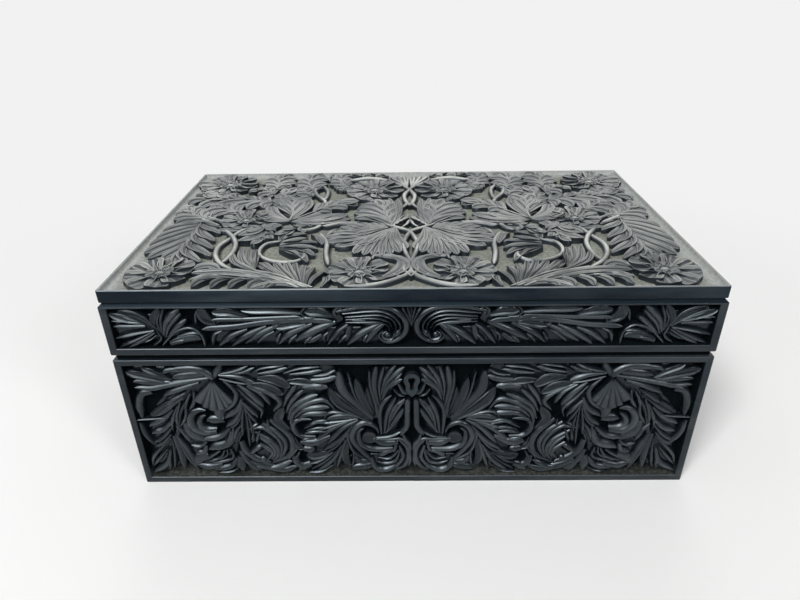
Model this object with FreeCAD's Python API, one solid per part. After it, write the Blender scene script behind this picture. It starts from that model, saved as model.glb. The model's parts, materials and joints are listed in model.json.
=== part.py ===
# A carved ebony work box, 330 x 203 x 135 mm, with a hinged lid, a box lock and a lift-out tray.
# Millimetres. Origin: centre of the underside. +X right, +Y back, +Z up, seen from the keyhole side.
import FreeCAD, Part
import math
import os
from FreeCAD import Vector

# Carcass, driving dimensions
box_width = 330.0
box_depth = 203.0
base_height = 91.0
seam_gap = 3.3
lid_face_height = 30.0
crown_gap = 2.5
wall = 12.5
arris = 0.8
neck_setback = 2.3
stop_relief = 0.6

# Borders round the carved fields; the carving itself fills each field up to its face
base_stile = 4.2
base_top_rail = 3.7
base_bottom_rail = 4.2
lid_stile = 4.5
lid_bottom_rail = 4.2
lid_top_rail = 0.9
field_sink = 0.6
ground_depth = 5.0

# Bevel and shadow line between the lid walls and the top board
crown_setback = 2.0
crown_rise = 1.3

# Carved top board
top_thickness = 7.2
top_inset = 0.8
rim_width = 1.3
top_ground_depth = 3.0
carving_margin = 7.0
carving_proud = 1.0

# Bottom board, let into a rabbet under the walls
bottom_thickness = 6.0
bottom_lap = 6.0
bottom_fit = 0.3
bottom_screw_from_inside = 3.0
bottom_screw_spread = 100.0

# Lining boards that carry the tray
liner_thickness = 3.0
liner_fit = 0.15

# Tray and its cells
tray_height = 26.0
tray_drop = 3.8
tray_fit = 0.75
tray_wall = 4.0
tray_floor = 3.0
divider = 3.0
groove = 1.0
groove_fit = 0.1
side_cell_width = 80.0
reel_row_depth = 42.0
back_row_depth = 52.0

# Lids of the four covered cells
cell_lid_thickness = 3.0
cell_lid_drop = 0.5
cell_lid_fit = 0.4
ledge_width = 3.0
ledge_height = 4.0
knob_radius = 4.5
knob_height = 7.5
knob_stem_radius = 2.0
knob_peg_radius = 1.5
knob_peg_length = 2.0
peg_fit = 0.05

# Lining of the lid
lid_lining_thickness = 2.5
bead = 4.0

# Hinges
hinge_offset = 95.0
leaf_length = 38.0
leaf_reach = 9.0
leaf_thickness = 1.2
knuckle_radius = 2.1
knuckle_count = 5
knuckle_gap = 0.2
knuckle_notch_fit = 0.4
hinge_pin_radius = 0.9
hinge_pin_fit = 0.05
leaf_fit = 0.1
leaf_screw_pitch = 13.0
leaf_screw_from_pin = 5.8

# Screws
small_screw_radius = 0.9
small_screw_head = 2.0
small_screw_length = 7.0
bottom_screw_radius = 1.3
bottom_screw_head = 2.8
bottom_screw_length = 15.0
screw_fit = 0.05
screw_sunk = 0.1

# Keyhole and escutcheon
key_below_base_top = 16.0
keyhole_radius = 2.15
keyhole_drop = 6.8
keyhole_slot = 2.2
escutcheon_radius = 4.6
escutcheon_waist = 3.3
escutcheon_hip = 3.7
escutcheon_point = 11.6
escutcheon_face = 1.8
escutcheon_fit = 0.05

# Box lock and its hooked link plate
lock_half_width = 24.0
lock_plate_thickness = 1.2
lock_depth = 7.0
selvedge_thickness = 1.5
case_half_width = 19.0
case_wall = 0.8
case_below_key = 7.6
plate_below_key = 9.0
lock_fit = 0.1
lock_screw_inset = 2.5
bolt_thickness = 1.6
bolt_bar_height = 6.0
bolt_above_key = 4.0
bolt_throw = 4.0
bolt_gap = 0.5
tongue_height = 2.4
upright_width = 2.5
hook_offset = 9.0
hook_thickness = 2.0
hook_width = 3.8
hook_side = 0.7
hook_fit = 0.4
hook_foot = 0.5
link_half_width = 20.0
link_thickness = 1.2
drill_pin_radius = 0.8
guide_radius = 1.0
ward_radius = 4.3
ward_wall = 0.5
ward_height = 1.4
spring_gauge = 0.5
spring_radius = 3.0
spring_gap = 0.2

# Levels and planes worked out from the sizes above
half_width = box_width / 2
half_depth = box_depth / 2
seam_z = base_height + seam_gap
lid_face_top = seam_z + lid_face_height
top_z = lid_face_top + crown_gap
rim_z = top_z + top_thickness
inner_half_width = half_width - wall
inner_half_depth = half_depth - wall
key_z = base_height - key_below_base_top
tray_top = seam_z - tray_drop
tray_bottom = tray_top - tray_height
hinge_y = half_depth - neck_setback
lock_inside_y = -inner_half_depth
lock_outside_y = lock_inside_y - lock_depth
plate_outside_y = lock_inside_y - lock_plate_thickness
case_front_y = lock_outside_y + case_wall
bolt_mid_y = (case_front_y + plate_outside_y) / 2

X_AXIS = Vector(1, 0, 0)
Y_AXIS = Vector(0, 1, 0)
Z_AXIS = Vector(0, 0, 1)
CENTRE = Vector(0, 0, 0)


def block(x0, x1, y0, y1, z0, z1):
    """A box between two corners."""
    return Part.makeBox(x1 - x0, y1 - y0, z1 - z0, Vector(x0, y0, z0))


def rod(radius, start, end):
    """A round bar between two points."""
    axis = end.sub(start)
    return Part.makeCylinder(radius, axis.Length, start, axis)


def prism(points, along):
    """A flat outline of 3-D points, pushed out along a vector."""
    wire = Part.makePolygon(list(points) + [points[0]])
    return Part.Face(wire).extrude(along)


def turned(profile, centre):
    """A (radius, height) outline revolved about the vertical through centre."""
    points = [Vector(r, 0, z) for r, z in profile]
    wire = Part.makePolygon(points + [points[0]])
    solid = Part.Face(wire).revolve(CENTRE, Z_AXIS, 360)
    solid.translate(centre)
    return solid


def quarter_turns(shape, turns):
    """The shape turned about the box's upright centre line."""
    moved = shape.copy()
    moved.rotate(CENTRE, Z_AXIS, 90 * turns)
    return moved


def cut_all(shape, tools):
    """The shape with every tool cut away."""
    for tool in tools:
        shape = shape.cut(tool)
    return shape


def mitre_plan(length, face, thickness, low, high):
    """Plan outline of a front wall with 45 degree mitres at both ends."""
    half = length / 2
    corners = [
        Vector(-half, -face, low),
        Vector(half, -face, low),
        Vector(half - thickness, -face + thickness, low),
        Vector(-half + thickness, -face + thickness, low),
    ]
    return prism(corners, Vector(0, 0, high - low))


def wall_board(section, length, face):
    """A mitred wall of (inset, height) points; face is how far its outside stands from the centre."""
    half = length / 2
    outline = [Vector(-half, -face + inset, height) for inset, height in section]
    heights = [height for _, height in section]
    board = prism(outline, Vector(length, 0, 0))
    return board.common(mitre_plan(length, face, wall, min(heights), max(heights)))


def field(length, face, stile, low, high):
    """The shallow sinking in a wall's outer face that holds the carving."""
    half = length / 2 - stile
    return block(-half, half, -face, -face + field_sink, low, high)


def screw(radius, head, length, at, way):
    """A slotted countersunk screw: at is the middle of its head, way is where it points."""
    head_height = head - radius
    solid = Part.makeCone(head, radius, head_height, at, way)
    solid = solid.fuse(Part.makeCylinder(radius, length, at, way)).removeSplitter()
    slot = Part.makeBox(2 * head, head / 4, head / 4, Vector(-head, -head / 8, 0))
    slot.Placement = FreeCAD.Placement(at, FreeCAD.Rotation(Z_AXIS, way)).multiply(slot.Placement)
    return solid.cut(slot)


def screw_hole(radius, head, length, at, way):
    """The hole and countersink that a screw sits in, with its clearance."""
    r, h = radius + screw_fit, head + screw_fit
    start = at.sub(Vector(way).multiply(screw_sunk + screw_fit))
    extra = screw_sunk + screw_fit
    hole = Part.makeCylinder(r, length + 2 * extra, start, way)
    mouth = Part.makeCylinder(h, extra, start, way)
    cone = Part.makeCone(h, r, h - r, at, way)
    return hole.fuse(mouth).fuse(cone)


def keyhole(y0, y1, fit=0.0):
    """A keyhole that runs through from y0 to y1: a round head over a narrow slot."""
    r = keyhole_radius + fit
    s = keyhole_slot / 2 + fit
    head = rod(r, Vector(0, y0, key_z), Vector(0, y1, key_z))
    slot = block(-s, s, y0, y1, key_z - keyhole_drop + s, key_z)
    foot = rod(s, Vector(0, y0, key_z - keyhole_drop + s), Vector(0, y1, key_z - keyhole_drop + s))
    return head.fuse(slot).fuse(foot)


def escutcheon_blank(y0, y1, fit=0.0):
    """The shield round the keyhole: a round head, a waist and a point."""
    r = escutcheon_radius + fit
    angle = math.radians(-35)
    side_x, side_z = r * math.cos(angle), key_z + r * math.sin(angle)
    top = Vector(0, y0, key_z + r)
    waist_z = key_z - escutcheon_radius
    hip_z = waist_z - escutcheon_waist
    right = [
        Vector(side_x, y0, side_z),
        Vector(escutcheon_waist + fit, y0, waist_z),
        Vector(escutcheon_hip + fit, y0, hip_z),
        Vector(0, y0, key_z - escutcheon_point - fit),
    ]
    left = [Vector(-p.x, p.y, p.z) for p in reversed(right[:-1])]
    arc = Part.Arc(left[-1], top, right[0]).toShape()
    lines = Part.makePolygon(right + left)
    wire = Part.Wire([arc] + lines.Edges)
    return Part.Face(wire).extrude(Vector(0, y1 - y0, 0))


# Places of the screws
def leaf_screw_places(side):
    """Three screw places of the hinge at side -1 or 1, on the seam plane."""
    y = hinge_y - leaf_screw_from_pin
    return [Vector(side * hinge_offset + n * leaf_screw_pitch, y, seam_z) for n in (-1, 0, 1)]


def lock_screw_places():
    """Four screw places in the lock plate, on its inner face."""
    x = lock_half_width - lock_screw_inset
    low = key_z - plate_below_key + lock_screw_inset
    high = seam_z - selvedge_thickness - 2 * lock_screw_inset
    return [Vector(sx * x, lock_inside_y, z) for sx in (-1, 1) for z in (low, high)]


def link_screw_places():
    """Two screw places in the link plate, on its underside."""
    x = (link_half_width + hook_offset) / 2
    return [Vector(sx * x, bolt_mid_y, seam_z) for sx in (-1, 1)]


def bottom_screw_places():
    """Eight screw places round the bottom board, on the underside."""
    y = inner_half_depth + bottom_screw_from_inside
    x = inner_half_width + bottom_screw_from_inside
    places = [Vector(n * bottom_screw_spread, sy * y, 0) for sy in (-1, 1) for n in (-1, 0, 1)]
    return places + [Vector(sx * x, 0, 0) for sx in (-1, 1)]


def small_screws(places, way):
    """A set of small screws, their heads just under the face at each place."""
    sunk = Vector(way).multiply(screw_sunk)
    size = (small_screw_radius, small_screw_head, small_screw_length)
    return [screw(*size, p.add(sunk), way) for p in places]


def small_holes(places, way):
    """The holes for a set of small screws."""
    sunk = Vector(way).multiply(screw_sunk)
    size = (small_screw_radius, small_screw_head, small_screw_length)
    return [screw_hole(*size, p.add(sunk), way) for p in places]


def bottom_holes():
    """The holes for the bottom board's screws."""
    sunk = Vector(0, 0, screw_sunk)
    size = (bottom_screw_radius, bottom_screw_head, bottom_screw_length)
    return [screw_hole(*size, p.add(sunk), Z_AXIS) for p in bottom_screw_places()]


# Seats cut into the walls for the hardware
def hinge_seats():
    """Room for both hinges: the knuckle's round notch and the two leaf recesses."""
    seats = []
    notch = knuckle_radius + knuckle_notch_fit
    for side in (-1, 1):
        x0 = side * hinge_offset - leaf_length / 2
        x1 = side * hinge_offset + leaf_length / 2
        start = Vector(x0 - knuckle_notch_fit, hinge_y, seam_z)
        end = Vector(x1 + knuckle_notch_fit, hinge_y, seam_z)
        seats.append(rod(notch, start, end))
        y0 = hinge_y - leaf_reach - leaf_fit
        low = seam_z - leaf_thickness
        high = seam_z + leaf_thickness
        seats.append(block(x0 - leaf_fit, x1 + leaf_fit, y0, hinge_y, low, high))
    return seats


def lock_mortise():
    """Room for the lock's plate, selvedge and case in the front wall."""
    f = lock_fit
    w = lock_half_width + f
    low = key_z - plate_below_key - f
    plate = block(-w, w, plate_outside_y - f, lock_inside_y, low, seam_z)
    selvedge = block(-w, w, lock_outside_y - f, lock_inside_y, seam_z - selvedge_thickness - f, seam_z)
    c = case_half_width + f
    case = block(-c, c, lock_outside_y - f, lock_inside_y, key_z - case_below_key - f, seam_z)
    return [plate, selvedge, case]


def link_seat():
    """Recess for the link plate in the lid's front wall."""
    w = link_half_width + lock_fit
    return block(-w, w, lock_outside_y - lock_fit, lock_inside_y, seam_z, seam_z + link_thickness)


# Walls of the base
def base_section():
    """Section of a base wall: neck at the top, rabbet for the bottom board."""
    rabbet = wall - bottom_lap
    return [
        (0, 0),
        (0, base_height - arris),
        (arris, base_height),
        (neck_setback, base_height),
        (neck_setback, seam_z),
        (wall, seam_z),
        (wall, bottom_thickness),
        (rabbet, bottom_thickness),
        (rabbet, 0),
    ]


def base_wall(length, face):
    """A base wall with its sunk field."""
    board = wall_board(base_section(), length, face)
    return board.cut(field(length, face, base_stile, base_bottom_rail, base_height - base_top_rail))


def base_walls():
    """The four walls of the base, each with the seats of what it holds."""
    long_wall = base_wall(box_width, half_depth)
    short_wall = base_wall(box_depth, half_width)
    lock_holes = small_holes(lock_screw_places(), Vector(0, -1, 0))
    hinge_holes = small_holes(leaf_screw_places(-1) + leaf_screw_places(1), Vector(0, 0, -1))
    face_y = -half_depth
    pocket = escutcheon_blank(face_y, face_y + ground_depth, escutcheon_fit)
    front = cut_all(long_wall, lock_mortise() + lock_holes + bottom_holes())
    front = front.cut(pocket).cut(keyhole(face_y, lock_inside_y))
    back = cut_all(quarter_turns(long_wall, 2), hinge_seats() + hinge_holes + bottom_holes())
    # The neck steps in a little more at the back, so that the open lid leans past upright
    relief = block(-half_width, half_width, hinge_y - stop_relief, half_depth, base_height, seam_z)
    return {
        "base_front_wall": front,
        "base_back_wall": back.cut(relief),
        "base_left_wall": cut_all(quarter_turns(short_wall, 3), bottom_holes() + [relief]),
        "base_right_wall": cut_all(quarter_turns(short_wall, 1), bottom_holes() + [relief]),
    }


def bottom():
    """The bottom board and the screws that hold it up in its rabbet."""
    x = inner_half_width + bottom_lap - bottom_fit
    y = inner_half_depth + bottom_lap - bottom_fit
    board = block(-x, x, -y, y, 0, bottom_thickness)
    sunk = Vector(0, 0, screw_sunk)
    size = (bottom_screw_radius, bottom_screw_head, bottom_screw_length)
    screws = [screw(*size, p.add(sunk), Z_AXIS) for p in bottom_screw_places()]
    return {"bottom_board": cut_all(board, bottom_holes()), "bottom_screws": screws}


def liners():
    """Thin lining boards that stand on the bottom board and carry the tray."""
    x = inner_half_width - liner_fit
    y = inner_half_depth - liner_fit
    t = liner_thickness
    z0, z1 = bottom_thickness, tray_bottom
    return {
        "front_liner": block(-x, x, -y, -y + t, z0, z1),
        "back_liner": block(-x, x, y - t, y, z0, z1),
        "left_liner": block(-x, -x + t, -y + t + liner_fit, y - t - liner_fit, z0, z1),
        "right_liner": block(x - t, x, -y + t + liner_fit, y - t - liner_fit, z0, z1),
    }


# Walls and top of the lid
def lid_section():
    """Section of a lid wall: eased lower arris, bevelled crown and shadow line."""
    return [
        (arris, seam_z),
        (0, seam_z + arris),
        (0, lid_face_top),
        (crown_setback, lid_face_top + crown_rise),
        (crown_setback, top_z),
        (wall, top_z),
        (wall, seam_z),
    ]


def lid_wall(length, face):
    """A lid wall with its sunk field."""
    board = wall_board(lid_section(), length, face)
    return board.cut(field(length, face, lid_stile, seam_z + lid_bottom_rail, lid_face_top - lid_top_rail))


def lid_walls():
    """The four walls of the lid."""
    long_wall = lid_wall(box_width, half_depth)
    short_wall = lid_wall(box_depth, half_width)
    link_holes = small_holes(link_screw_places(), Z_AXIS)
    hinge_holes = small_holes(leaf_screw_places(-1) + leaf_screw_places(1), Z_AXIS)
    return {
        "lid_front_wall": cut_all(long_wall, [link_seat()] + link_holes),
        "lid_back_wall": cut_all(quarter_turns(long_wall, 2), hinge_seats() + hinge_holes),
        "lid_left_wall": quarter_turns(short_wall, 3),
        "lid_right_wall": quarter_turns(short_wall, 1),
    }


def lid_top():
    """The top board: a thin rim, a sunk margin and the raised block that holds the carving."""
    x, y = half_width - top_inset, half_depth - top_inset
    ground_z = rim_z - top_ground_depth
    board = block(-x, x, -y, y, top_z, rim_z)
    rx, ry = x - rim_width, y - rim_width
    board = board.cut(block(-rx, rx, -ry, ry, ground_z, rim_z))
    cx, cy = x - carving_margin, y - carving_margin
    carved = block(-cx, cx, -cy, cy, ground_z, rim_z + carving_proud)
    return {"lid_top_board": board.fuse(carved).removeSplitter()}


def lid_lining():
    """The lining panel inside the lid and the mitred beads that hold it."""
    x = inner_half_width - liner_fit
    y = inner_half_depth - liner_fit
    panel_z = top_z - lid_lining_thickness
    panel = block(-x, x, -y, y, panel_z, top_z)
    beads = []
    for turns in range(4):
        length, face = (2 * x, y) if turns % 2 == 0 else (2 * y, x)
        corner = Vector(-length / 2, -face, panel_z)
        foot = corner.add(Vector(0, 0, -bead))
        toe = corner.add(Vector(0, bead, 0))
        bow = corner.add(Vector(0, bead / math.sqrt(2), -bead / math.sqrt(2)))
        edges = [
            Part.LineSegment(corner, foot).toShape(),
            Part.Arc(foot, bow, toe).toShape(),
            Part.LineSegment(toe, corner).toShape(),
        ]
        strip = Part.Face(Part.Wire(edges)).extrude(Vector(length, 0, 0))
        strip = strip.common(mitre_plan(length, face, bead, panel_z - bead, panel_z))
        beads.append(quarter_turns(strip, turns))
    return {"lid_lining_panel": panel, "lid_lining_beads": beads}


# Hinges
def hinge_leaf(side, owner):
    """One leaf of the hinge at side -1 or 1: owner is 0 for the base leaf, 1 for the lid leaf."""
    x0 = side * hinge_offset - leaf_length / 2
    pitch = leaf_length / knuckle_count
    z0, z1 = (seam_z - leaf_thickness, seam_z) if owner == 0 else (seam_z, seam_z + leaf_thickness)
    y0 = hinge_y - leaf_reach
    y1 = hinge_y - knuckle_radius - knuckle_gap
    leaf = block(x0, x0 + leaf_length, y0, y1, z0, z1)
    for n in range(owner, knuckle_count, 2):
        left = x0 + n * pitch + (knuckle_gap / 2 if n else 0)
        right = x0 + (n + 1) * pitch - (knuckle_gap / 2 if n < knuckle_count - 1 else 0)
        tab = block(left, right, y1, hinge_y, z0, z1)
        knuckle = rod(knuckle_radius, Vector(left, hinge_y, seam_z), Vector(right, hinge_y, seam_z))
        leaf = leaf.fuse(tab).fuse(knuckle)
    bore = hinge_pin_radius + hinge_pin_fit
    leaf = leaf.cut(rod(bore, Vector(x0, hinge_y, seam_z), Vector(x0 + leaf_length, hinge_y, seam_z)))
    way = Vector(0, 0, -1) if owner == 0 else Z_AXIS
    return cut_all(leaf.removeSplitter(), small_holes(leaf_screw_places(side), way))


def hinges():
    """Leaves, pins and screws of both hinges."""
    nodes = {}
    for side, name in ((-1, "left"), (1, "right")):
        nodes[name + "_hinge_base_leaf"] = hinge_leaf(side, 0)
        nodes[name + "_hinge_lid_leaf"] = hinge_leaf(side, 1)
        x0 = side * hinge_offset - leaf_length / 2
        start, end = Vector(x0, hinge_y, seam_z), Vector(x0 + leaf_length, hinge_y, seam_z)
        nodes[name + "_hinge_pin"] = rod(hinge_pin_radius, start, end)
    places = leaf_screw_places(-1) + leaf_screw_places(1)
    nodes["hinge_base_screws"] = small_screws(places, Vector(0, 0, -1))
    nodes["hinge_lid_screws"] = small_screws(places, Z_AXIS)
    return nodes


# Lock
def lock_plate():
    """Plate and selvedge in one, with the drill pin and the bolt's guide stud."""
    w = lock_half_width
    plate = block(-w, w, plate_outside_y, lock_inside_y, key_z - plate_below_key, seam_z)
    selvedge = block(-w, w, lock_outside_y, lock_inside_y, seam_z - selvedge_thickness, seam_z)
    pin_end = Vector(0, lock_outside_y - lock_plate_thickness, key_z)
    pin = rod(drill_pin_radius, Vector(0, plate_outside_y, key_z), pin_end)
    guide_x, guide_z = guide_place()
    guide_end = Vector(guide_x, bolt_mid_y - bolt_thickness, guide_z)
    guide = rod(guide_radius, Vector(guide_x, plate_outside_y, guide_z), guide_end)
    shape = plate.fuse(selvedge).fuse(pin).fuse(guide).removeSplitter()
    slots = []
    half_y = hook_width / 2 + hook_fit
    for sx in (-1, 1):
        x0 = sx * hook_offset - hook_thickness / 2 - hook_fit
        x1 = sx * hook_offset + hook_thickness / 2 + hook_fit
        y0, y1 = bolt_mid_y - half_y, bolt_mid_y + half_y
        slots.append(block(x0, x1, y0, y1, seam_z - selvedge_thickness, seam_z))
    return cut_all(shape, slots + small_holes(lock_screw_places(), Vector(0, -1, 0)))


def lock_case():
    """The lock's cap: an open box with the keyhole and one round ward."""
    c = case_half_width
    z0 = key_z - case_below_key
    z1 = seam_z - selvedge_thickness
    case = block(-c, c, lock_outside_y, plate_outside_y, z0, z1)
    room = block(-c + case_wall, c - case_wall, case_front_y, plate_outside_y, z0 + case_wall, z1)
    ward_end = Vector(0, case_front_y + ward_height, key_z)
    ward = rod(ward_radius + ward_wall, Vector(0, case_front_y, key_z), ward_end)
    ward = ward.cut(rod(ward_radius, Vector(0, case_front_y, key_z), ward_end))
    return case.cut(room).fuse(ward).cut(keyhole(lock_outside_y, case_front_y + ward_height))


def bolt_levels():
    """Lower and upper edge of the bolt's bar, then of its tongues."""
    low = key_z + bolt_above_key
    high = low + bolt_bar_height
    top = seam_z - selvedge_thickness - bolt_gap - tongue_height
    return low, high, top, top + tongue_height - bolt_gap


def guide_place():
    """Where the guide stud stands on the plate."""
    low, high, _, _ = bolt_levels()
    return -hook_offset + 3 * guide_radius, (low + high) / 2


def lock_bolt():
    """The sliding bolt: a bar with two uprights whose tongues enter the hooks."""
    low, high, tongue_low, tongue_high = bolt_levels()
    y0, y1 = bolt_mid_y - bolt_thickness / 2, bolt_mid_y + bolt_thickness / 2
    shape = None
    for sx in (-1, 1):
        tip = sx * hook_offset - hook_thickness / 2 - bolt_gap
        root = tip - bolt_throw
        arm = block(root, tip, y0, y1, tongue_low, tongue_high)
        upright = block(root - upright_width, root, y0, y1, low, tongue_high)
        arm = arm.fuse(upright)
        shape = arm if shape is None else shape.fuse(arm)
    left = -hook_offset - hook_thickness / 2 - bolt_gap - bolt_throw - upright_width
    shape = shape.fuse(block(left, hook_offset, y0, y1, low, high))
    guide_x, guide_z = guide_place()
    play = guide_radius + bolt_gap / 2
    slot = block(guide_x - bolt_throw - play, guide_x + play, y0, y1, guide_z - play, guide_z + play)
    talon = block(-keyhole_slot, keyhole_slot, y0, y1, low, low + keyhole_drop - bolt_above_key)
    return shape.cut(slot).cut(talon).removeSplitter()


def lock_spring():
    """A bow spring held between the selvedge and the bolt's bar."""
    _, bar_top, _, _ = bolt_levels()
    y0, y1 = bolt_mid_y - bolt_thickness / 2, bolt_mid_y + bolt_thickness / 2
    x = -hook_offset - hook_thickness / 2 + bolt_throw + spring_radius
    z = bar_top + spring_gap + spring_radius
    high = seam_z - selvedge_thickness - spring_gap
    bow = rod(spring_radius, Vector(x, y0, z), Vector(x, y1, z))
    bow = bow.fuse(block(x - spring_radius, x + spring_radius, y0, y1, z, high))
    inner = spring_radius - spring_gauge
    gap = rod(inner, Vector(x, y0, z), Vector(x, y1, z))
    gap = gap.fuse(block(x - inner, x + inner, y0, y1, z, high))
    return bow.cut(gap)


def link_plate():
    """The lid's plate with two hooks, each with an eye for the bolt's tongue."""
    _, _, tongue_low, tongue_high = bolt_levels()
    w = link_half_width
    plate = block(-w, w, lock_outside_y, lock_inside_y, seam_z, seam_z + link_thickness)
    half_y = hook_width / 2
    eye_y = half_y - hook_side
    eyes = []
    for sx in (-1, 1):
        x0 = sx * hook_offset - hook_thickness / 2
        x1 = x0 + hook_thickness
        foot = tongue_low - bolt_gap - hook_foot
        hook = block(x0, x1, bolt_mid_y - half_y, bolt_mid_y + half_y, foot, seam_z)
        plate = plate.fuse(hook)
        y0, y1 = bolt_mid_y - eye_y, bolt_mid_y + eye_y
        eyes.append(block(x0, x1, y0, y1, foot + hook_foot, tongue_high + bolt_gap))
    return cut_all(plate.removeSplitter(), eyes + small_holes(link_screw_places(), Z_AXIS))


def lock():
    """All pieces of the lock, its link plate and the escutcheon."""
    face_y = -half_depth
    shield = escutcheon_blank(face_y + escutcheon_face, face_y + ground_depth)
    return {
        "keyhole_escutcheon": shield.cut(keyhole(face_y, lock_inside_y)),
        "lock_plate": lock_plate(),
        "lock_case": lock_case(),
        "lock_bolt": lock_bolt(),
        "lock_spring": lock_spring(),
        "lock_screws": small_screws(lock_screw_places(), Vector(0, -1, 0)),
        "link_plate": link_plate(),
        "link_screws": small_screws(link_screw_places(), Z_AXIS),
    }


# Tray
tray_half_width = inner_half_width - tray_fit
tray_half_depth = inner_half_depth - tray_fit
tray_room_x = tray_half_width - tray_wall
tray_room_y = tray_half_depth - tray_wall
cell_floor = tray_bottom + tray_floor
inner_x = tray_room_x - side_cell_width - divider
reel_y = -tray_room_y + reel_row_depth
back_y = tray_room_y - back_row_depth


def upright_groove(x, y, depth_x, depth_y):
    """A housing for a divider's end, cut from the floor of the tray to its top."""
    return block(x - depth_x, x + depth_x, y - depth_y, y + depth_y, cell_floor, tray_top)


def tray_walls():
    """Four tray walls, housed where the dividers end."""
    half = divider / 2 + groove_fit
    long_x = inner_x + divider / 2
    reel_x = inner_x / 3
    walls = {}
    for sy, name in ((-1, "front"), (1, "back")):
        y0, y1 = sorted((sy * tray_room_y, sy * tray_half_depth))
        board = block(-tray_half_width, tray_half_width, y0, y1, tray_bottom, tray_top)
        grooves = [upright_groove(sx * long_x, sy * tray_room_y, half, groove) for sx in (-1, 1)]
        if sy < 0:
            grooves += [upright_groove(sx * reel_x, -tray_room_y, half, groove) for sx in (-1, 1)]
        walls["tray_" + name + "_wall"] = cut_all(board, grooves)
    for sx, name in ((-1, "left"), (1, "right")):
        x0, x1 = sorted((sx * tray_room_x, sx * tray_half_width))
        board = block(x0, x1, -tray_room_y, tray_room_y, tray_bottom, tray_top)
        walls["tray_" + name + "_wall"] = board.cut(upright_groove(sx * tray_room_x, 0, groove, half))
    return walls


def tray_dividers():
    """The dividers, each end housed one groove deep."""
    z0, z1 = cell_floor, tray_top
    half = divider / 2
    seat = groove - groove_fit
    housing = half + groove_fit
    floor = block(-tray_room_x, tray_room_x, -tray_room_y, tray_room_y, tray_bottom, cell_floor)
    nodes = {"tray_floor": floor}
    for sx, name in ((-1, "left"), (1, "right")):
        x0, x1 = sorted((sx * inner_x, sx * (inner_x + divider)))
        board = block(x0, x1, -tray_room_y - seat, tray_room_y + seat, z0, z1)
        grooves = [
            upright_groove(sx * (inner_x + divider), 0, groove, housing),
            upright_groove(sx * inner_x, reel_y + half, groove, housing),
            upright_groove(sx * inner_x, back_y - half, groove, housing),
        ]
        nodes[name + "_long_divider"] = cut_all(board, grooves)
        c0, c1 = sorted((sx * (inner_x + divider - seat), sx * (tray_room_x + seat)))
        nodes[name + "_cell_divider"] = block(c0, c1, -half, half, z0, z1)
    span = inner_x + seat
    reel_x = inner_x / 3
    reel_board = block(-span, span, reel_y, reel_y + divider, z0, z1)
    reel_grooves = [upright_groove(sx * reel_x, reel_y, housing, groove) for sx in (-1, 1)]
    nodes["reel_row_divider"] = cut_all(reel_board, reel_grooves)
    nodes["back_row_divider"] = block(-span, span, back_y - divider, back_y, z0, z1)
    for sx, name in ((-1, "left"), (1, "right")):
        middle = sx * reel_x
        y0, y1 = -tray_room_y - seat, reel_y + seat
        nodes[name + "_reel_divider"] = block(middle - half, middle + half, y0, y1, z0, z1)
    return nodes


def cell_bounds(sx, sy):
    """Inside of a covered cell: sx is -1 left or 1 right, sy is -1 front or 1 back."""
    x0, x1 = sorted((sx * (inner_x + divider), sx * tray_room_x))
    y0, y1 = sorted((sy * divider / 2, sy * tray_room_y))
    return x0, x1, y0, y1


def cell_lids():
    """Ledges, lids and turned knobs of the four covered cells."""
    lid_top_z = tray_top - cell_lid_drop
    lid_low_z = lid_top_z - cell_lid_thickness
    nodes = {}
    ledges = []
    for sy, row in ((-1, "front"), (1, "back")):
        for sx, column in ((-1, "left"), (1, "right")):
            x0, x1, y0, y1 = cell_bounds(sx, sy)
            for low, high in ((x0, x0 + ledge_width), (x1 - ledge_width, x1)):
                ledges.append(block(low, high, y0, y1, lid_low_z - ledge_height, lid_low_z))
            f = cell_lid_fit
            panel = block(x0 + f, x1 - f, y0 + f, y1 - f, lid_low_z, lid_top_z)
            middle = Vector((x0 + x1) / 2, (y0 + y1) / 2, lid_top_z)
            deep = middle.sub(Vector(0, 0, knob_peg_length + peg_fit))
            name = row + "_" + column
            nodes[name + "_cell_lid"] = panel.cut(rod(knob_peg_radius + peg_fit, deep, middle))
            nodes[name + "_knob"] = knob(middle)
    nodes["cell_ledges"] = ledges
    return nodes


def knob(seat):
    """A turned knob: peg, foot ring, waist and a flattened ball with a button on it."""
    r, h, stem = knob_radius, knob_height, knob_stem_radius
    ball_low = h * 0.32
    steps = 6
    ball = []
    for n in range(steps + 1):
        angle = math.radians(-60 + 120 * n / steps)
        rise = (math.sin(angle) / math.sin(math.radians(60)) + 1) / 2
        ball.append((r * math.cos(angle), ball_low + rise * (h * 0.86 - ball_low)))
    profile = [(0, -knob_peg_length), (knob_peg_radius, -knob_peg_length), (knob_peg_radius, 0)]
    profile += [(stem * 1.6, 0), (stem * 1.6, h * 0.1), (stem, h * 0.18)]
    profile += ball + [(stem * 0.5, h), (0, h)]
    return turned(profile, seat)


def write(nodes):
    """One STEP file for each node; a list of solids shares a node."""
    os.makedirs("parts", exist_ok=True)
    for name, shape in sorted(nodes.items()):
        solids = shape if isinstance(shape, list) else [shape]
        solids = [s for part in solids for s in part.Solids]
        group = solids[0] if len(solids) == 1 else Part.makeCompound(solids)
        if not group.isValid():
            raise ValueError(name + " is not a valid solid")
        group.exportStep(os.path.join("parts", name + ".step"))
        print(f"{name}: {len(solids)} solid(s), {group.Volume / 1000:.2f} cm3")


def main():
    """Builds every piece and writes it."""
    nodes = {}
    for build in (base_walls, bottom, liners, lid_walls, lid_top, lid_lining, hinges, lock):
        nodes.update(build())
    for build in (tray_walls, tray_dividers, cell_lids):
        nodes.update(build())
    write(nodes)


main()
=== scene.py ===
"""A carved ebony work box with a hinged lid, a box lock and a lift-out tray.

Lengths are written in millimetres and turned into metres where a mesh is made. The frame's axes are +X to the
right of the keyhole side, +Y to the hinges and +Z up, from the middle of the underside.
"""

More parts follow.
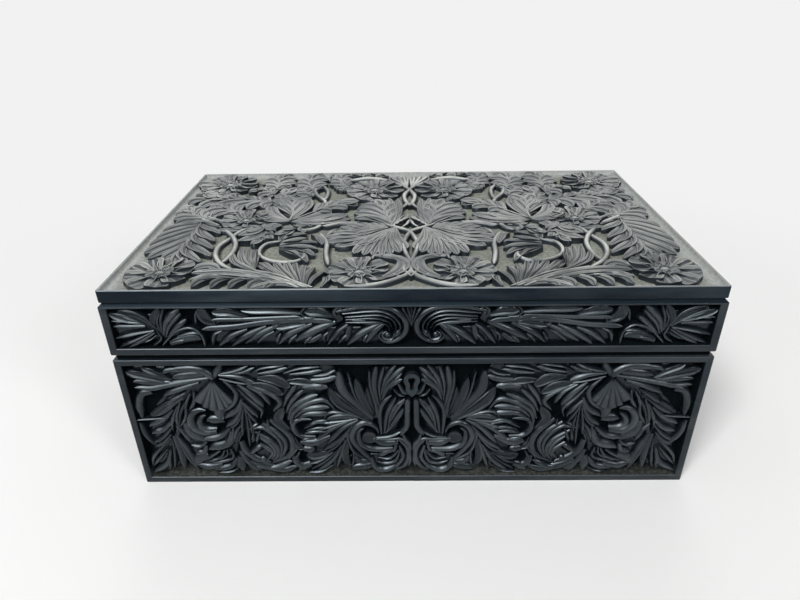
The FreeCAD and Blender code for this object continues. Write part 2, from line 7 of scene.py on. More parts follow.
import json
import logging
import math
from dataclasses import dataclass, field
from enum import Enum
from typing import Callable, Sequence

import bmesh
import bpy
import numpy as np
from mathutils import Matrix, Vector

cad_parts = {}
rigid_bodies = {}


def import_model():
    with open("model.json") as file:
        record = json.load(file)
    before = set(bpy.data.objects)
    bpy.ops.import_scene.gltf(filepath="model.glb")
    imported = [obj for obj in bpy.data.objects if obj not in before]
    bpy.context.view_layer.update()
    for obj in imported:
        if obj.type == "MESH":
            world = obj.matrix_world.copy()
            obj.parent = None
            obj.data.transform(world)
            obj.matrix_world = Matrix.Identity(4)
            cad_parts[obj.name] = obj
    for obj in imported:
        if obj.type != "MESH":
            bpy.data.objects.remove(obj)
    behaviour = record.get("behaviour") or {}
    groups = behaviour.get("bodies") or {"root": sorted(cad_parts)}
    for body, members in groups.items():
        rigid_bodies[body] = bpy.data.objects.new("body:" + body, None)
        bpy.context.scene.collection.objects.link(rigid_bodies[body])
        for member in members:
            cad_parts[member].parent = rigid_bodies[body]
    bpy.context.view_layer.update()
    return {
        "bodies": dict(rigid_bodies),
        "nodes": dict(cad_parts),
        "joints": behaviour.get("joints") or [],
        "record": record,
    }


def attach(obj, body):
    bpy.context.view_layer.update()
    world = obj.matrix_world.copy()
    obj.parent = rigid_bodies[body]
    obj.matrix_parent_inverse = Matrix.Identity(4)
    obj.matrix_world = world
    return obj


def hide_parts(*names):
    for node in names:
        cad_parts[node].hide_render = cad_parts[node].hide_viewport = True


log = logging.getLogger("work_box")
FRAME: dict = {}

MM = 0.001
Pair = tuple[float, float]

# The box's own sizes, as in the frame
BOX_WIDTH = 330.0
BOX_DEPTH = 203.0
BASE_HEIGHT = 91.0
SEAM_Z = 94.3
LID_FACE_TOP = 124.3
TOP_Z = 126.8
RIM_Z = 134.0
WALL = 12.5
HINGE_Y = 99.2
KEY_Z = 75.0
# Lock parts seen through the keyhole; they take a near-black finish as painted shade.
KEYHOLE_SHADE_NODES = ("lock_case", "lock_bolt", "lock_spring")


class Side(Enum):
    """The four upright faces of the box, each with its quarter turns from the front."""

    FRONT = 0
    RIGHT = 1
    BACK = 2
    LEFT = 3


# Geometry and shader trees


class Sketch:
    """A node tree that is drawn one node at a time."""

    def __init__(self, tree: bpy.types.NodeTree) -> None:
        """Keeps the tree that the nodes go into."""
        self.tree = tree

    def add(self, kind: str, inputs: dict | None = None, **settings: object) -> bpy.types.Node:
        """Adds a node.

        Args:
            kind: Blender's name of the node type.
            inputs: values or sockets by input name or number.
            settings: properties of the node.

        Returns:
            The new node.
        """
        node = self.tree.nodes.new(kind)
        for name, value in settings.items():
            setattr(node, name, value)
        for name, value in (inputs or {}).items():
            socket = node.inputs[name]
            if isinstance(value, bpy.types.NodeSocket):
                self.tree.links.new(value, socket)
            else:
                socket.default_value = value
        return node

    def math(self, operation: str, *values: object) -> bpy.types.NodeSocket:
        """Adds a Math node.

        Args:
            operation: name of the sum.
            values: numbers or sockets, in order.

        Returns:
            The result's socket.
        """
        node = self.add("ShaderNodeMath", dict(enumerate(values)), operation=operation)
        return node.outputs[0]


class CutTree:
    """The geometry tree that sweeps the carver's cuts: each edge chain becomes one raised form with upright walls."""

    SECTION_POINTS = 11
    TOP_REACH = 0.92

    def __init__(self, name: str) -> None:
        """Builds the tree under a name."""
        self.group = bpy.data.node_groups.new(name, "GeometryNodeTree")
        face = self.group.interface
        face.new_socket(name="Geometry", in_out="INPUT", socket_type="NodeSocketGeometry")
        face.new_socket(name="Shoulder", in_out="INPUT", socket_type="NodeSocketFloat")
        face.new_socket(name="Ceiling", in_out="INPUT", socket_type="NodeSocketFloat")
        face.new_socket(name="Reach X", in_out="INPUT", socket_type="NodeSocketFloat")
        face.new_socket(name="Reach Y", in_out="INPUT", socket_type="NodeSocketFloat")
        face.new_socket(name="Material", in_out="INPUT", socket_type="NodeSocketMaterial")
        face.new_socket(name="Geometry", in_out="OUTPUT", socket_type="NodeSocketGeometry")
        self._draw()

    def _draw(self) -> None:
        """Draws the nodes: chains to curves, a sweep, then each section point to its place."""
        s = Sketch(self.group)
        given = s.add("NodeGroupInput").outputs
        curve = s.add("GeometryNodeMeshToCurve", {"Mesh": given["Geometry"]}).outputs[0]
        ring = s.add("GeometryNodeCurvePrimitiveCircle", {"Resolution": self.SECTION_POINTS, "Radius": 1e-6})
        index = s.add("GeometryNodeInputIndex").outputs[0]
        middle = (self.SECTION_POINTS - 1) / 2
        step = s.math("SUBTRACT", index, middle)
        across = s.math("MULTIPLY", step, self.TOP_REACH / (middle - 2))
        across = s.add("ShaderNodeClamp", {"Value": across, "Min": -1.0, "Max": 1.0}).outputs[0]
        far = s.math("ABSOLUTE", step)
        ring_out = ring.outputs[0]
        marks = {"across": across, "edge": s.math("GREATER_THAN", far, middle - 1.5)}
        marks["wall_foot"] = s.math("GREATER_THAN", far, middle - 0.5)
        for name, value in marks.items():
            store = s.add("GeometryNodeStoreNamedAttribute", data_type="FLOAT", domain="POINT")
            store.inputs["Name"].default_value = name
            self.group.links.new(ring_out, store.inputs["Geometry"])
            self.group.links.new(value, store.inputs["Value"])
            ring_out = store.outputs[0]
        sweep = s.add("GeometryNodeCurveToMesh", {"Curve": curve, "Profile Curve": ring_out, "Fill Caps": True})

        def read(name: str, kind: str = "FLOAT") -> bpy.types.NodeSocket:
            """The socket of a named attribute."""
            return s.add("GeometryNodeInputNamedAttribute", {"Name": name}, data_type=kind).outputs[0]

        u = read("across")
        place = s.add("ShaderNodeSeparateXYZ", {0: s.add("GeometryNodeInputPosition").outputs[0]}).outputs
        out = s.add("ShaderNodeSeparateXYZ", {0: read("sideways", "FLOAT_VECTOR")}).outputs
        reach = s.math("MULTIPLY", u, read("half_width"))
        x = s.math("MULTIPLY_ADD", out[0], reach, place[0])
        y = s.math("MULTIPLY_ADD", out[1], reach, place[1])
        x = s.math("MAXIMUM", s.math("MINIMUM", x, given["Reach X"]), s.math("MULTIPLY", given["Reach X"], -1.0))
        y = s.math("MAXIMUM", s.math("MINIMUM", y, given["Reach Y"]), s.math("MULTIPLY", given["Reach Y"], -1.0))
        drop = s.math("MULTIPLY", read("crown"), s.math("MULTIPLY", u, u))
        z = s.math("SUBTRACT", place[2], drop)
        z = s.math("MULTIPLY_ADD", read("lean"), u, z)
        z = s.math("SUBTRACT", z, s.math("MULTIPLY", read("edge"), given["Shoulder"]))
        z = s.math("MINIMUM", z, given["Ceiling"])
        foot = read("wall_foot")
        z = s.math("MULTIPLY", z, s.math("SUBTRACT", 1.0, foot))
        z = s.math("MULTIPLY_ADD", foot, read("ground"), z)
        moved = s.add("ShaderNodeCombineXYZ", {0: x, 1: y, 2: z}).outputs[0]
        # The crest attribute marks each lobe's ridge; the finish pales it, partly as wear and partly as painted
        # highlight.
        round_top = s.math("SUBTRACT", 0.5, s.math("MULTIPLY", u, u))
        crest = s.math("MULTIPLY_ADD", s.math("SIGN", read("crown")), round_top, 0.5)
        crest = s.math("MULTIPLY", crest, s.math("SUBTRACT", 1.0, read("edge")))
        keep = s.add("GeometryNodeStoreNamedAttribute", {"Geometry": sweep.outputs[0], "Name": "crest"}, data_type="FLOAT")
        self.group.links.new(crest, keep.inputs["Value"])
        veined = s.math("LESS_THAN", read("crown"), -1e-5)
        vein = s.add("GeometryNodeStoreNamedAttribute", {"Geometry": keep.outputs[0], "Name": "veined"}, data_type="FLOAT")
        self.group.links.new(veined, vein.inputs["Value"])
        placed = s.add("GeometryNodeSetPosition", {"Geometry": vein.outputs[0], "Position": moved}).outputs[0]
        for name in ("sideways", "half_width", "crown", "lean", "edge", "wall_foot", "ground"):
            placed = s.add("GeometryNodeRemoveAttribute", {"Geometry": placed, "Name": name}).outputs[0]
        real = s.add("GeometryNodeRealizeInstances", {"Geometry": placed}).outputs[0]
        done = s.add("GeometryNodeSetMaterial", {"Geometry": real, "Material": given["Material"]}).outputs[0]
        s.add("NodeGroupOutput", {"Geometry": done})


def set_inputs(modifier: bpy.types.Modifier, values: dict[str, object]) -> None:
    """Sets a tree's inputs by their identifiers.

    Args:
        modifier: the Geometry Nodes modifier.
        values: each input's value by its name.
    """
    for item in modifier.node_group.interface.items_tree:
        if item.item_type == "SOCKET" and item.in_out == "INPUT" and item.name in values:
            modifier[item.identifier] = values[item.name]


def new_object(name: str, mesh: bpy.types.Mesh) -> bpy.types.Object:
    """A linked object for a mesh."""
    obj = bpy.data.objects.new(name, mesh)
    bpy.context.scene.collection.objects.link(obj)
    return obj


def bake(obj: bpy.types.Object) -> bpy.types.Mesh:
    """The evaluated mesh of an object whose modifiers then go.

    Args:
        obj: the object with live modifiers.

    Returns:
        The plain mesh that the object now holds.
    """
    graph = bpy.context.evaluated_depsgraph_get()
    mesh = bpy.data.meshes.new_from_object(obj.evaluated_get(graph))
    obj.modifiers.clear()
    obj.data = mesh
    return mesh


# Finishes


@dataclass(frozen=True)
class Ebony:
    """Polished ebony: near black, with a little grain, pale dust where it settles, crests paled partly by wear and
    partly as painted highlight, and reflections tinted cool as painted room light.
    """

    name: str = "ebony"
    colour: tuple[float, float, float] = (0.0055, 0.0080, 0.0105)
    dust: tuple[float, float, float] = (0.16, 0.165, 0.145)
    film_dust_and_highlight: float = 0.0
    deep: float = 0.0
    gloss: Pair = (0.30, 0.46)
    shine: float = 0.4
    # Paler colour of worn crests, which is also painted highlight, and of rubbed smudges.
    worn_and_highlight_colour: tuple[float, float, float] = (0.09, 0.098, 0.105)
    wear_and_highlight: float = 0.0
    cool_reflection_tint: tuple[float, float, float] = (0.74, 0.9, 1.0)
    veins: float = 0.0
    smudge: float = 0.0

    def build(self) -> bpy.types.Material:
        """The material.

        Returns:
            A new material on Object coordinates and the carving's own depth and facing.
        """
        mat = bpy.data.materials.new(self.name)
        mat.use_nodes = True
        mat.node_tree.nodes.clear()
        s = Sketch(mat.node_tree)
        where = s.add("ShaderNodeTexCoord").outputs["Object"]
        grain_map = s.add("ShaderNodeMapping", {"Vector": where, "Scale": (22.0, 260.0, 260.0)}).outputs[0]
        grain = s.add("ShaderNodeTexNoise", {"Vector": grain_map, "Scale": 1.0, "Detail": 4.0}).outputs[0]
        patch = s.add("ShaderNodeTexNoise", {"Vector": where, "Scale": 38.0, "Detail": 5.0}).outputs[0]
        fine = s.add("ShaderNodeTexNoise", {"Vector": where, "Scale": 900.0, "Detail": 3.0}).outputs[0]
        depth = s.add("ShaderNodeAttribute", attribute_name="depth").outputs["Fac"]
        facing = s.add("ShaderNodeAttribute", attribute_name="facing").outputs["Fac"]
        crest = s.add("ShaderNodeAttribute", attribute_name="crest").outputs["Fac"]
        across = s.add("ShaderNodeAttribute", attribute_name="across").outputs["Fac"]
        veined = s.add("ShaderNodeAttribute", attribute_name="veined").outputs["Fac"]
        wave = s.math("COSINE", s.math("MULTIPLY", across, 11.0))
        ridge = s.math("MULTIPLY", s.math("MAXIMUM", wave, 0.0), veined)
        lighter = tuple(2.4 * c for c in self.colour)
        wood = s.add("ShaderNodeMix", {0: grain, 6: (*self.colour, 1), 7: (*lighter, 1)}, data_type="RGBA")
        tone = wood.outputs[2]
        uneven = s.add("ShaderNodeMapRange", {0: patch, 1: 0.3, 2: 0.7, 3: 0.55, 4: 1.0}).outputs[0]
        # Crests and vein ridges near the surface are mixed towards the paler colour: partly wear, partly painted
        # highlight.
        if self.wear_and_highlight:
            high = s.add("ShaderNodeMapRange", {0: crest, 1: 0.35, 2: 1.0, 3: 0.0, 4: 1.0}).outputs[0]
            near = s.add("ShaderNodeMapRange", {0: depth, 1: 0.45, 2: 0.08, 3: 0.0, 4: self.wear_and_highlight}).outputs[0]
            touched = s.add("ShaderNodeMapRange", {0: patch, 1: 0.38, 2: 0.62, 3: 0.25, 4: 1.0}).outputs[0]
            high = s.math("MAXIMUM", high, s.math("MULTIPLY", ridge, 0.5 * self.veins))
            amount = s.math("MULTIPLY", s.math("MULTIPLY", high, near), touched)
            tone = s.add("ShaderNodeMix", {0: amount, 6: tone, 7: (*self.worn_and_highlight_colour, 1)}, data_type="RGBA").outputs[2]
        # Up-facing and deep faces are mixed towards the dust colour: dust, and on the rim partly painted highlight.
        if self.film_dust_and_highlight or self.deep:
            flat = s.add("ShaderNodeMapRange", {0: facing, 1: 0.35, 2: 1.0, 3: 0.0, 4: self.film_dust_and_highlight}).outputs[0]
            low = s.add("ShaderNodeMapRange", {0: depth, 1: 0.35, 2: 0.9, 3: 0.0, 4: self.deep}).outputs[0]
            amount = s.math("MULTIPLY", s.math("ADD", flat, low), uneven)
            tone = s.add("ShaderNodeMix", {0: amount, 6: tone, 7: (*self.dust, 1)}, data_type="RGBA").outputs[2]
        if self.smudge:
            rubbed = s.add("ShaderNodeMapping", {"Vector": where, "Scale": (14.0, 14.0, 70.0)}).outputs[0]
            rubbed = s.add("ShaderNodeTexNoise", {"Vector": rubbed, "Scale": 1.0, "Detail": 6.0}).outputs[0]
            amount = s.add("ShaderNodeMapRange", {0: rubbed, 1: 0.46, 2: 0.70, 3: 0.0, 4: self.smudge}).outputs[0]
            tone = s.add("ShaderNodeMix", {0: amount, 6: tone, 7: (*self.worn_and_highlight_colour, 1)}, data_type="RGBA").outputs[2]
        rough = s.add("ShaderNodeMapRange", {0: patch, 1: 0.3, 2: 0.7, 3: self.gloss[0], 4: self.gloss[1]}).outputs[0]
        height = s.math("ADD", s.math("MULTIPLY", grain, 0.5), s.math("MULTIPLY", fine, 0.25))
        height = s.math("MULTIPLY_ADD", ridge, 3.0 * self.veins, height)
        bump = s.add("ShaderNodeBump", {"Height": height, "Strength": 0.25, "Distance": 0.0004}).outputs[0]
        shader = s.add("ShaderNodeBsdfPrincipled", {"Base Color": tone, "Roughness": rough, "Normal": bump})
        shader.inputs["IOR"].default_value = 1.5
        shader.inputs["Specular IOR Level"].default_value = self.shine
        # Reflections are tinted cool blue: painted colour of the room's light, not of the wood.
        shader.inputs["Specular Tint"].default_value = (*self.cool_reflection_tint, 1)
        s.add("ShaderNodeOutputMaterial", {"Surface": shader.outputs[0]})
        return mat


@dataclass(frozen=True)
class Ground:
    """The sunk ground between the leaves: dull, tooled wood with dust lying on it."""

    name: str
    colour: tuple[float, float, float]
    dust: tuple[float, float, float]
    cover: Pair
    low: Pair = (0.0, 1.0)
    speck: float = 1.0
    shine: float = 0.1
    margin_dust_and_sheen: tuple[float, float, float] | None = None

    def build(self) -> bpy.types.Material:
        """The material.

        Returns:
            A new material; dust thickens towards the lower height given by low.
        """
        mat = bpy.data.materials.new(self.name)
        mat.use_nodes = True
        mat.node_tree.nodes.clear()
        s = Sketch(mat.node_tree)
        where = s.add("ShaderNodeTexCoord").outputs["Object"]
        patch = s.add("ShaderNodeTexNoise", {"Vector": where, "Scale": 60.0, "Detail": 6.0}).outputs[0]
        tooled = s.add("ShaderNodeTexVoronoi", {"Vector": where, "Scale": 700.0}, feature="SMOOTH_F1").outputs[0]
        height = s.add("ShaderNodeSeparateXYZ", {0: where}).outputs[2]
        low = s.add("ShaderNodeMapRange", {0: height, 1: self.low[1], 2: self.low[0], 3: 0.0, 4: 1.0}).outputs[0]
        rough_patch = s.add("ShaderNodeMapRange", {0: patch, 1: 0.38, 2: 0.62, 3: 1 - 0.65 * self.speck, 4: 1.0}).outputs[0]
        grit = s.add("ShaderNodeTexNoise", {"Vector": where, "Scale": 520.0, "Detail": 3.0}).outputs[0]
        grit = s.add("ShaderNodeMapRange", {0: grit, 1: 0.42, 2: 0.6, 3: 1 - 0.65 * self.speck, 4: 1 + 0.3 * self.speck}).outputs[0]
        amount = s.add("ShaderNodeMapRange", {0: low, 1: 0.0, 2: 1.0, 3: self.cover[0], 4: self.cover[1]}).outputs[0]
        amount = s.math("MULTIPLY", s.math("MULTIPLY", amount, rough_patch), grit)
        tone = s.add("ShaderNodeMix", {0: amount, 6: (*self.colour, 1), 7: (*self.dust, 1)}, data_type="RGBA").outputs[2]
        # The field's sloping edges are mixed towards a paler colour: partly dust, partly painted sheen.
        if self.margin_dust_and_sheen:
            x, y, _ = s.add("ShaderNodeSeparateXYZ", {0: where}).outputs
            sides = s.add("ShaderNodeMapRange", {0: s.math("ABSOLUTE", x), 1: 0.152, 2: 0.161}).outputs[0]
            ends = s.add("ShaderNodeMapRange", {0: s.math("ABSOLUTE", y), 1: 0.091, 2: 0.098}).outputs[0]
            edge = s.math("MULTIPLY", s.math("MAXIMUM", sides, ends), grit)
            tone = s.add("ShaderNodeMix", {0: edge, 6: tone, 7: (*self.margin_dust_and_sheen, 1)}, data_type="RGBA").outputs[2]
        bump = s.add("ShaderNodeBump", {"Height": tooled, "Strength": 0.5, "Distance": 0.0005}).outputs[0]
        shader = s.add("ShaderNodeBsdfPrincipled", {"Base Color": tone, "Normal": bump})
        shader.inputs["Roughness"].default_value = 0.75
        shader.inputs["Specular IOR Level"].default_value = self.shine
        s.add("ShaderNodeOutputMaterial", {"Surface": shader.outputs[0]})
        return mat


@dataclass(frozen=True)
class Plain:
    """A plain finish of one colour with a little unevenness."""

    name: str
    colour: tuple[float, float, float]
    rough: float
    metal: float = 0.0
    streak: tuple[float, float, float] = (60.0, 60.0, 60.0)
    spread: float = 0.35

    def build(self) -> bpy.types.Material:
        """The material, uneven on Object coordinates."""
        mat = bpy.data.materials.new(self.name)
        mat.use_nodes = True
        mat.node_tree.nodes.clear()
        s = Sketch(mat.node_tree)
        where = s.add("ShaderNodeTexCoord").outputs["Object"]
        drawn = s.add("ShaderNodeMapping", {"Vector": where, "Scale": self.streak}).outputs[0]
        grain = s.add("ShaderNodeTexNoise", {"Vector": drawn, "Scale": 1.0, "Detail": 6.0}).outputs[0]
        mix = s.add("ShaderNodeMix", {0: grain}, data_type="RGBA")
        mix.inputs[6].default_value = (*[c * (1 - self.spread) for c in self.colour], 1)
        mix.inputs[7].default_value = (*[c * (1 + self.spread) for c in self.colour], 1)
        bump = s.add("ShaderNodeBump", {"Height": grain, "Strength": 0.15, "Distance": 0.0003}).outputs[0]
        shader = s.add("ShaderNodeBsdfPrincipled", {"Base Color": mix.outputs[2], "Normal": bump})
        shader.inputs["Roughness"].default_value = self.rough
        shader.inputs["Metallic"].default_value = self.metal
        s.add("ShaderNodeOutputMaterial", {"Surface": shader.outputs[0]})
        return mat


# The carver's strokes


def flow(points: Sequence[Sequence[float]], count: int) -> np.ndarray:
    """A smooth line through points.

    Args:
        points: rows of numbers; the first two are the place.
        count: how many rows to return.

    Returns:
        Rows evenly spread along the line, with every column carried along.
    """
    p = np.asarray(points, float)
    if len(p) == 2:
        t = np.linspace(0, 1, count)[:, None]
        return p[0] * (1 - t) + p[1] * t
    ends = np.vstack([2 * p[0] - p[1], p, 2 * p[-1] - p[-2]])
    fine = []
    for i in range(1, len(ends) - 2):
        a, b, c, d = ends[i - 1 : i + 3]
        t = np.linspace(0, 1, 16, endpoint=False)[:, None]
        fine.append(0.5 * (2 * b + (c - a) * t + (2 * a - 5 * b + 4 * c - d) * t**2 + (3 * b - a - 3 * c + d) * t**3))
    line = np.vstack([*fine, p[-1:]])
    run = np.concatenate([[0], np.cumsum(np.linalg.norm(np.diff(line[:, :2], axis=0), axis=1))])
    want = np.linspace(0, run[-1], count)
    return np.column_stack([np.interp(want, run, line[:, k]) for k in range(line.shape[1])])


def turn(vector: np.ndarray, degrees: float) -> np.ndarray:
    """A flat vector turned anticlockwise."""
    a = math.radians(degrees)
    return np.array([vector[0] * math.cos(a) - vector[1] * math.sin(a), vector[0] * math.sin(a) + vector[1] * math.cos(a)])


@dataclass
class Relief:
    """Carved work in one sunk field, drawn in the field's own plane in millimetres."""

    ground: float
    seed: int = 3
    reach: Pair = (1000.0, 1000.0)
    strokes: list[dict] = field(default_factory=list)

    def __post_init__(self) -> None:
        """Starts the random hand."""
        self.hand = np.random.default_rng(self.seed)

    def stroke(
        self, line: np.ndarray, half: np.ndarray, top: np.ndarray, crown: float = 0.6, lean: float = 0.0
    ) -> None:
        """One raised form.

        Args:
            line: places along its middle.
            half: half its width at each place.
            top: height of its middle at each place.
            crown: how far the edges lie below the middle; less than 0 is a hollow.
            lean: how far the right edge stands above the middle.
        """
        along = np.gradient(line[:, :2], axis=0)
        along /= np.maximum(np.linalg.norm(along, axis=1, keepdims=True), 1e-9)
        sideways = np.column_stack([along[:, 1], -along[:, 0]])
        widest = max(float(half.max()), 1e-6)
        self.strokes.append(
            {
                "line": line[:, :2],
                "half": half,
                "top": top,
                "crown": crown * (half / widest) ** 1.0,
                "lean": lean * (half / widest),
                "side": sideways,
            }
        )

    def lobe(
        self,
        path: Sequence[Sequence[float]],
        width: float,
        top: float = 0.0,
        *,
        crown: float = 0.7,
        lean: float = 0.0,
        root: float = 0.45,
        belly: float = 0.58,
        sharp: float = 0.62,
        sink: float = 0.9,
        droop: float = 0.6,
        count: int = 11,
        twin: float = 0.0,
    ) -> None:
        """One leaf lobe or petal, from its root to its tip.

        Args:
            path: points along its middle.
            width: its greatest width.
            top: height of its belly.
            crown: see stroke.
            lean: see stroke.
            root: its width at the root, as a share.
            belly: where it is widest, as a share of its length.
            sharp: shape of the tip: 0.5 is round, 1 is pointed.
            sink: how far the root lies below the belly.
            droop: how far the tip lies below the belly.
            count: number of stations.
            twin: side on which a thin second ridge runs along it: 1 left, -1 right, 0 none.
        """
        t = 1 - (1 - np.linspace(0, 1, count)) ** 1.35
        fine = flow(path, 60)
        run = np.linspace(0, 1, 60)
        line = np.column_stack([np.interp(t, run, fine[:, k]) for k in (0, 1)])
        rise = np.clip(t / belly, 0, 1)
        fall = np.clip((t - belly) / (1 - belly), 0, 1)
        half = root + (1 - root) * np.sin(rise * math.pi / 2)
        half = np.where(t > belly, np.maximum(1 - fall**2, 0) ** sharp, half)
        half = np.maximum(half * width / 2, 0.03)
        smooth = fall * fall * (3 - 2 * fall)
        height = top - sink * (1 - rise) ** 2 - droop * smooth
        if twin:
            along = np.gradient(line, axis=0)
            along /= np.maximum(np.linalg.norm(along, axis=1, keepdims=True), 1e-9)
            left = np.column_stack([-along[:, 1], along[:, 0]]) * (twin * half)[:, None]
            short = slice(0, count - 1)
            slim = np.maximum(half * 0.26 * np.clip((1 - t) * 3, 0, 1), 0.03)
            lift = -0.75 if crown > 0 else -0.9 * crown
            self.stroke((line + 0.76 * left)[short], slim[short], (height + lift)[short], 0.3 * abs(crown), 0.0)
            line, half = line - 0.16 * left, half * 0.8
        self.stroke(line, half, height, crown, lean)

    def lobes(self, q: "Squared", gouge: "Gouge", rows: Sequence[Sequence[float]]) -> None:
        """Cuts lobes from the rows of a squared drawing.

        Args:
            q: the drawing.
            gouge: how they are cut.
            rows: each a width and then places along the middle, in squares.
        """
        for row in rows:
            places = list(zip(row[1::2], row[2::2]))
            self.lobe(
                q(*places), gouge.fat * row[0] / q.squares_per_mm, gouge.top + 0.08 * self.hand.standard_normal(), crown=gouge.crown,
                lean=gouge.lean, root=gouge.root, belly=gouge.belly, sharp=gouge.sharp, sink=gouge.sink, droop=gouge.droop,
                twin=gouge.twin, count=max(12, 5 * len(places)),
            )

    def bands(self, q: "Squared", crown: float, top: float, rows: Sequence[Sequence[float]]) -> None:
        """Cuts bands of even width from the rows of a squared drawing.

        Args:
            q: the drawing.
            crown: see stroke.
            top: their height.
            rows: each a width and then places along the middle, in squares.
        """
        for row in rows:
            self.rib(q(*zip(row[1::2], row[2::2])), row[0] / q.squares_per_mm, top, crown, taper=0.06)

    def pleats(self, q: "Squared", peak: Pair, hem: Sequence[Pair], top: float, crown: float) -> None:
        """Cuts straight pleats that widen from a peak to the corners of a hem.

        Args:
            q: the drawing.
            peak: where they start.
            hem: the corners of the hem, in order.
            top: their height.
            crown: see stroke.
        """
        for one, other in zip(hem, hem[1:]):
            middle = (0.5 * (one[0] + other[0]), 0.5 * (one[1] + other[1]))
            wide = math.dist(one, other) / q.squares_per_mm
            self.rib(q(peak, middle), (0.5, 1.05 * wide), top, crown, taper=0.0, count=10)

    def rib(
        self, path: Sequence[Sequence[float]], width: float | Pair, top: float = 0.0, crown: float = 0.8,
        taper: float = 0.12, count: int = 0,
    ) -> None:
        """A stem or vein of even width.

        Args:
            path: points along its middle, with a third number where its height differs.
            width: its width, or its widths at the start and the end.
            top: its height.
            crown: see stroke.
            taper: share of its length over which each end narrows.
            count: number of stations, or 0 to choose them.
        """
        length = np.sum(np.linalg.norm(np.diff(np.asarray(path, float)[:, :2], axis=0), axis=1))
        count = count or int(min(44, max(8, length / 1.6)))
        line = flow(path, count)
        t = np.linspace(0, 1, count)
        ends = (width, width) if isinstance(width, (int, float)) else width
        half = np.interp(t, [0, 1], [ends[0] / 2, ends[1] / 2])
        if taper:
            half = half * np.clip(np.minimum(t, 1 - t) / taper, 0.02, 1) ** 0.5
        lift = line[:, 2] if line.shape[1] > 2 else 0.0
        self.stroke(line, np.maximum(half, 0.03), top + lift + np.zeros(count), crown)

    def acanthus(
        self,
        spine: Sequence[Sequence[float]],
        tips: Sequence[Sequence[float]],
        *,
        top: float = 0.0,
        crown: float = -1.6,
        lean: float = 0.85,
        fat: float = 1.32,
        sweep: float = 0.95,
        vein: float = 1.3,
        end: bool = True,
        body: bool = True,
        sharp: float = 0.55,
        droop: float = 0.5,
        widest: float = 9.0,
        twin: bool = False,
        bed: float = 1.0,
    ) -> None:
        """An acanthus leaf: lobes run off both sides of a spine and out to their tips.

        Args:
            spine: points from the root to the leaf's end.
            tips: ends of the lobes, in any order.
            top: height of the lobes.
            crown: see stroke.
            lean: see stroke.
            fat: width of the lobes, as a share of the room between them.
            sweep: how far back towards the root each lobe leaves the spine.
            vein: width of the vein, or 0 for none.
            end: whether the spine itself ends in a lobe.
            body: whether lower wood fills the leaf behind the lobes.
            sharp: see lobe.
            droop: see lobe.
            widest: the greatest width of a lobe.
            twin: whether each lobe has a thin second ridge.
            bed: how far the wood behind the lobes lies below them.
        """
        line = flow(spine, 90)[:, :2]
        along = np.gradient(line, axis=0)
        along /= np.linalg.norm(along, axis=1, keepdims=True)
        length = np.sum(np.linalg.norm(np.diff(line, axis=0), axis=1))
        rows: dict[int, list[tuple[float, float, np.ndarray]]] = {1: [], -1: []}
        for place in tips:
            tip = np.array(place[:2], float)
            near = int(np.argmin(np.linalg.norm(line - tip, axis=1)))
            off = tip - line[near]
            side = 1 if along[near][0] * off[1] - along[near][1] * off[0] > 0 else -1
            ahead = float(np.dot(off, along[near])) / length
            rows[side].append((near / 89 + max(ahead, 0.0), float(np.linalg.norm(off)), tip))
        reach = np.full(90, 1.2)
        for side, row in rows.items():
            row.sort(key=lambda item: item[0])
            for n, (share, off, tip) in enumerate(row):
                start = min(max(share - sweep * off / length, 0.02 + 0.03 * n), 0.93)
                at = int(start * 89)
                p0 = line[at]
                gap = tip - p0
                far = float(np.linalg.norm(gap))
                mid = p0 + 0.5 * gap + along[at] * 0.16 * far - 0.04 * gap
                mates = [float(np.linalg.norm(tip - row[m][2])) for m in (n - 1, n + 1) if 0 <= m < len(row)]
                room = sum(mates) / len(mates) if mates else 0.5 * far
                wide = min(max(fat * room, 1.8), widest, 0.62 * far + 1.0)
                lift = 0.12 * (n % 2) + 0.06 * self.hand.standard_normal()
                self.lobe(
                    [p0, mid, tip], wide, top + lift, crown=crown, lean=side * lean, root=0.4, belly=0.62,
                    sharp=sharp, droop=droop, sink=0.45, twin=side if twin else 0,
                )
                near = int(min(share, 1) * 89)
                low, high = sorted((at, near))
                reach[low : high + 1] = np.maximum(reach[low : high + 1], 0.5 * off)
        if end:
            size = min(widest, max(2.0, 0.22 * length))
            self.lobe(line[55::6], size * fat, top + 0.15, crown=crown, root=0.4, sharp=sharp, droop=droop, sink=0.3)
        if body:
            half = np.convolve(np.pad(reach, 6, mode="edge"), np.ones(13) / 13, "valid")[::7]
            half = half * np.sqrt(np.clip(np.linspace(0.15, 1, len(half)) * 2, 0, 1))
            half[-1] = 0.3
            self.stroke(line[::7], half, np.full(len(half), top - bed), 0.7)
        if vein:
            self.rib(line[:82:8], (vein, 0.5 * vein), top + 0.2, 0.3, taper=0.1, count=12)

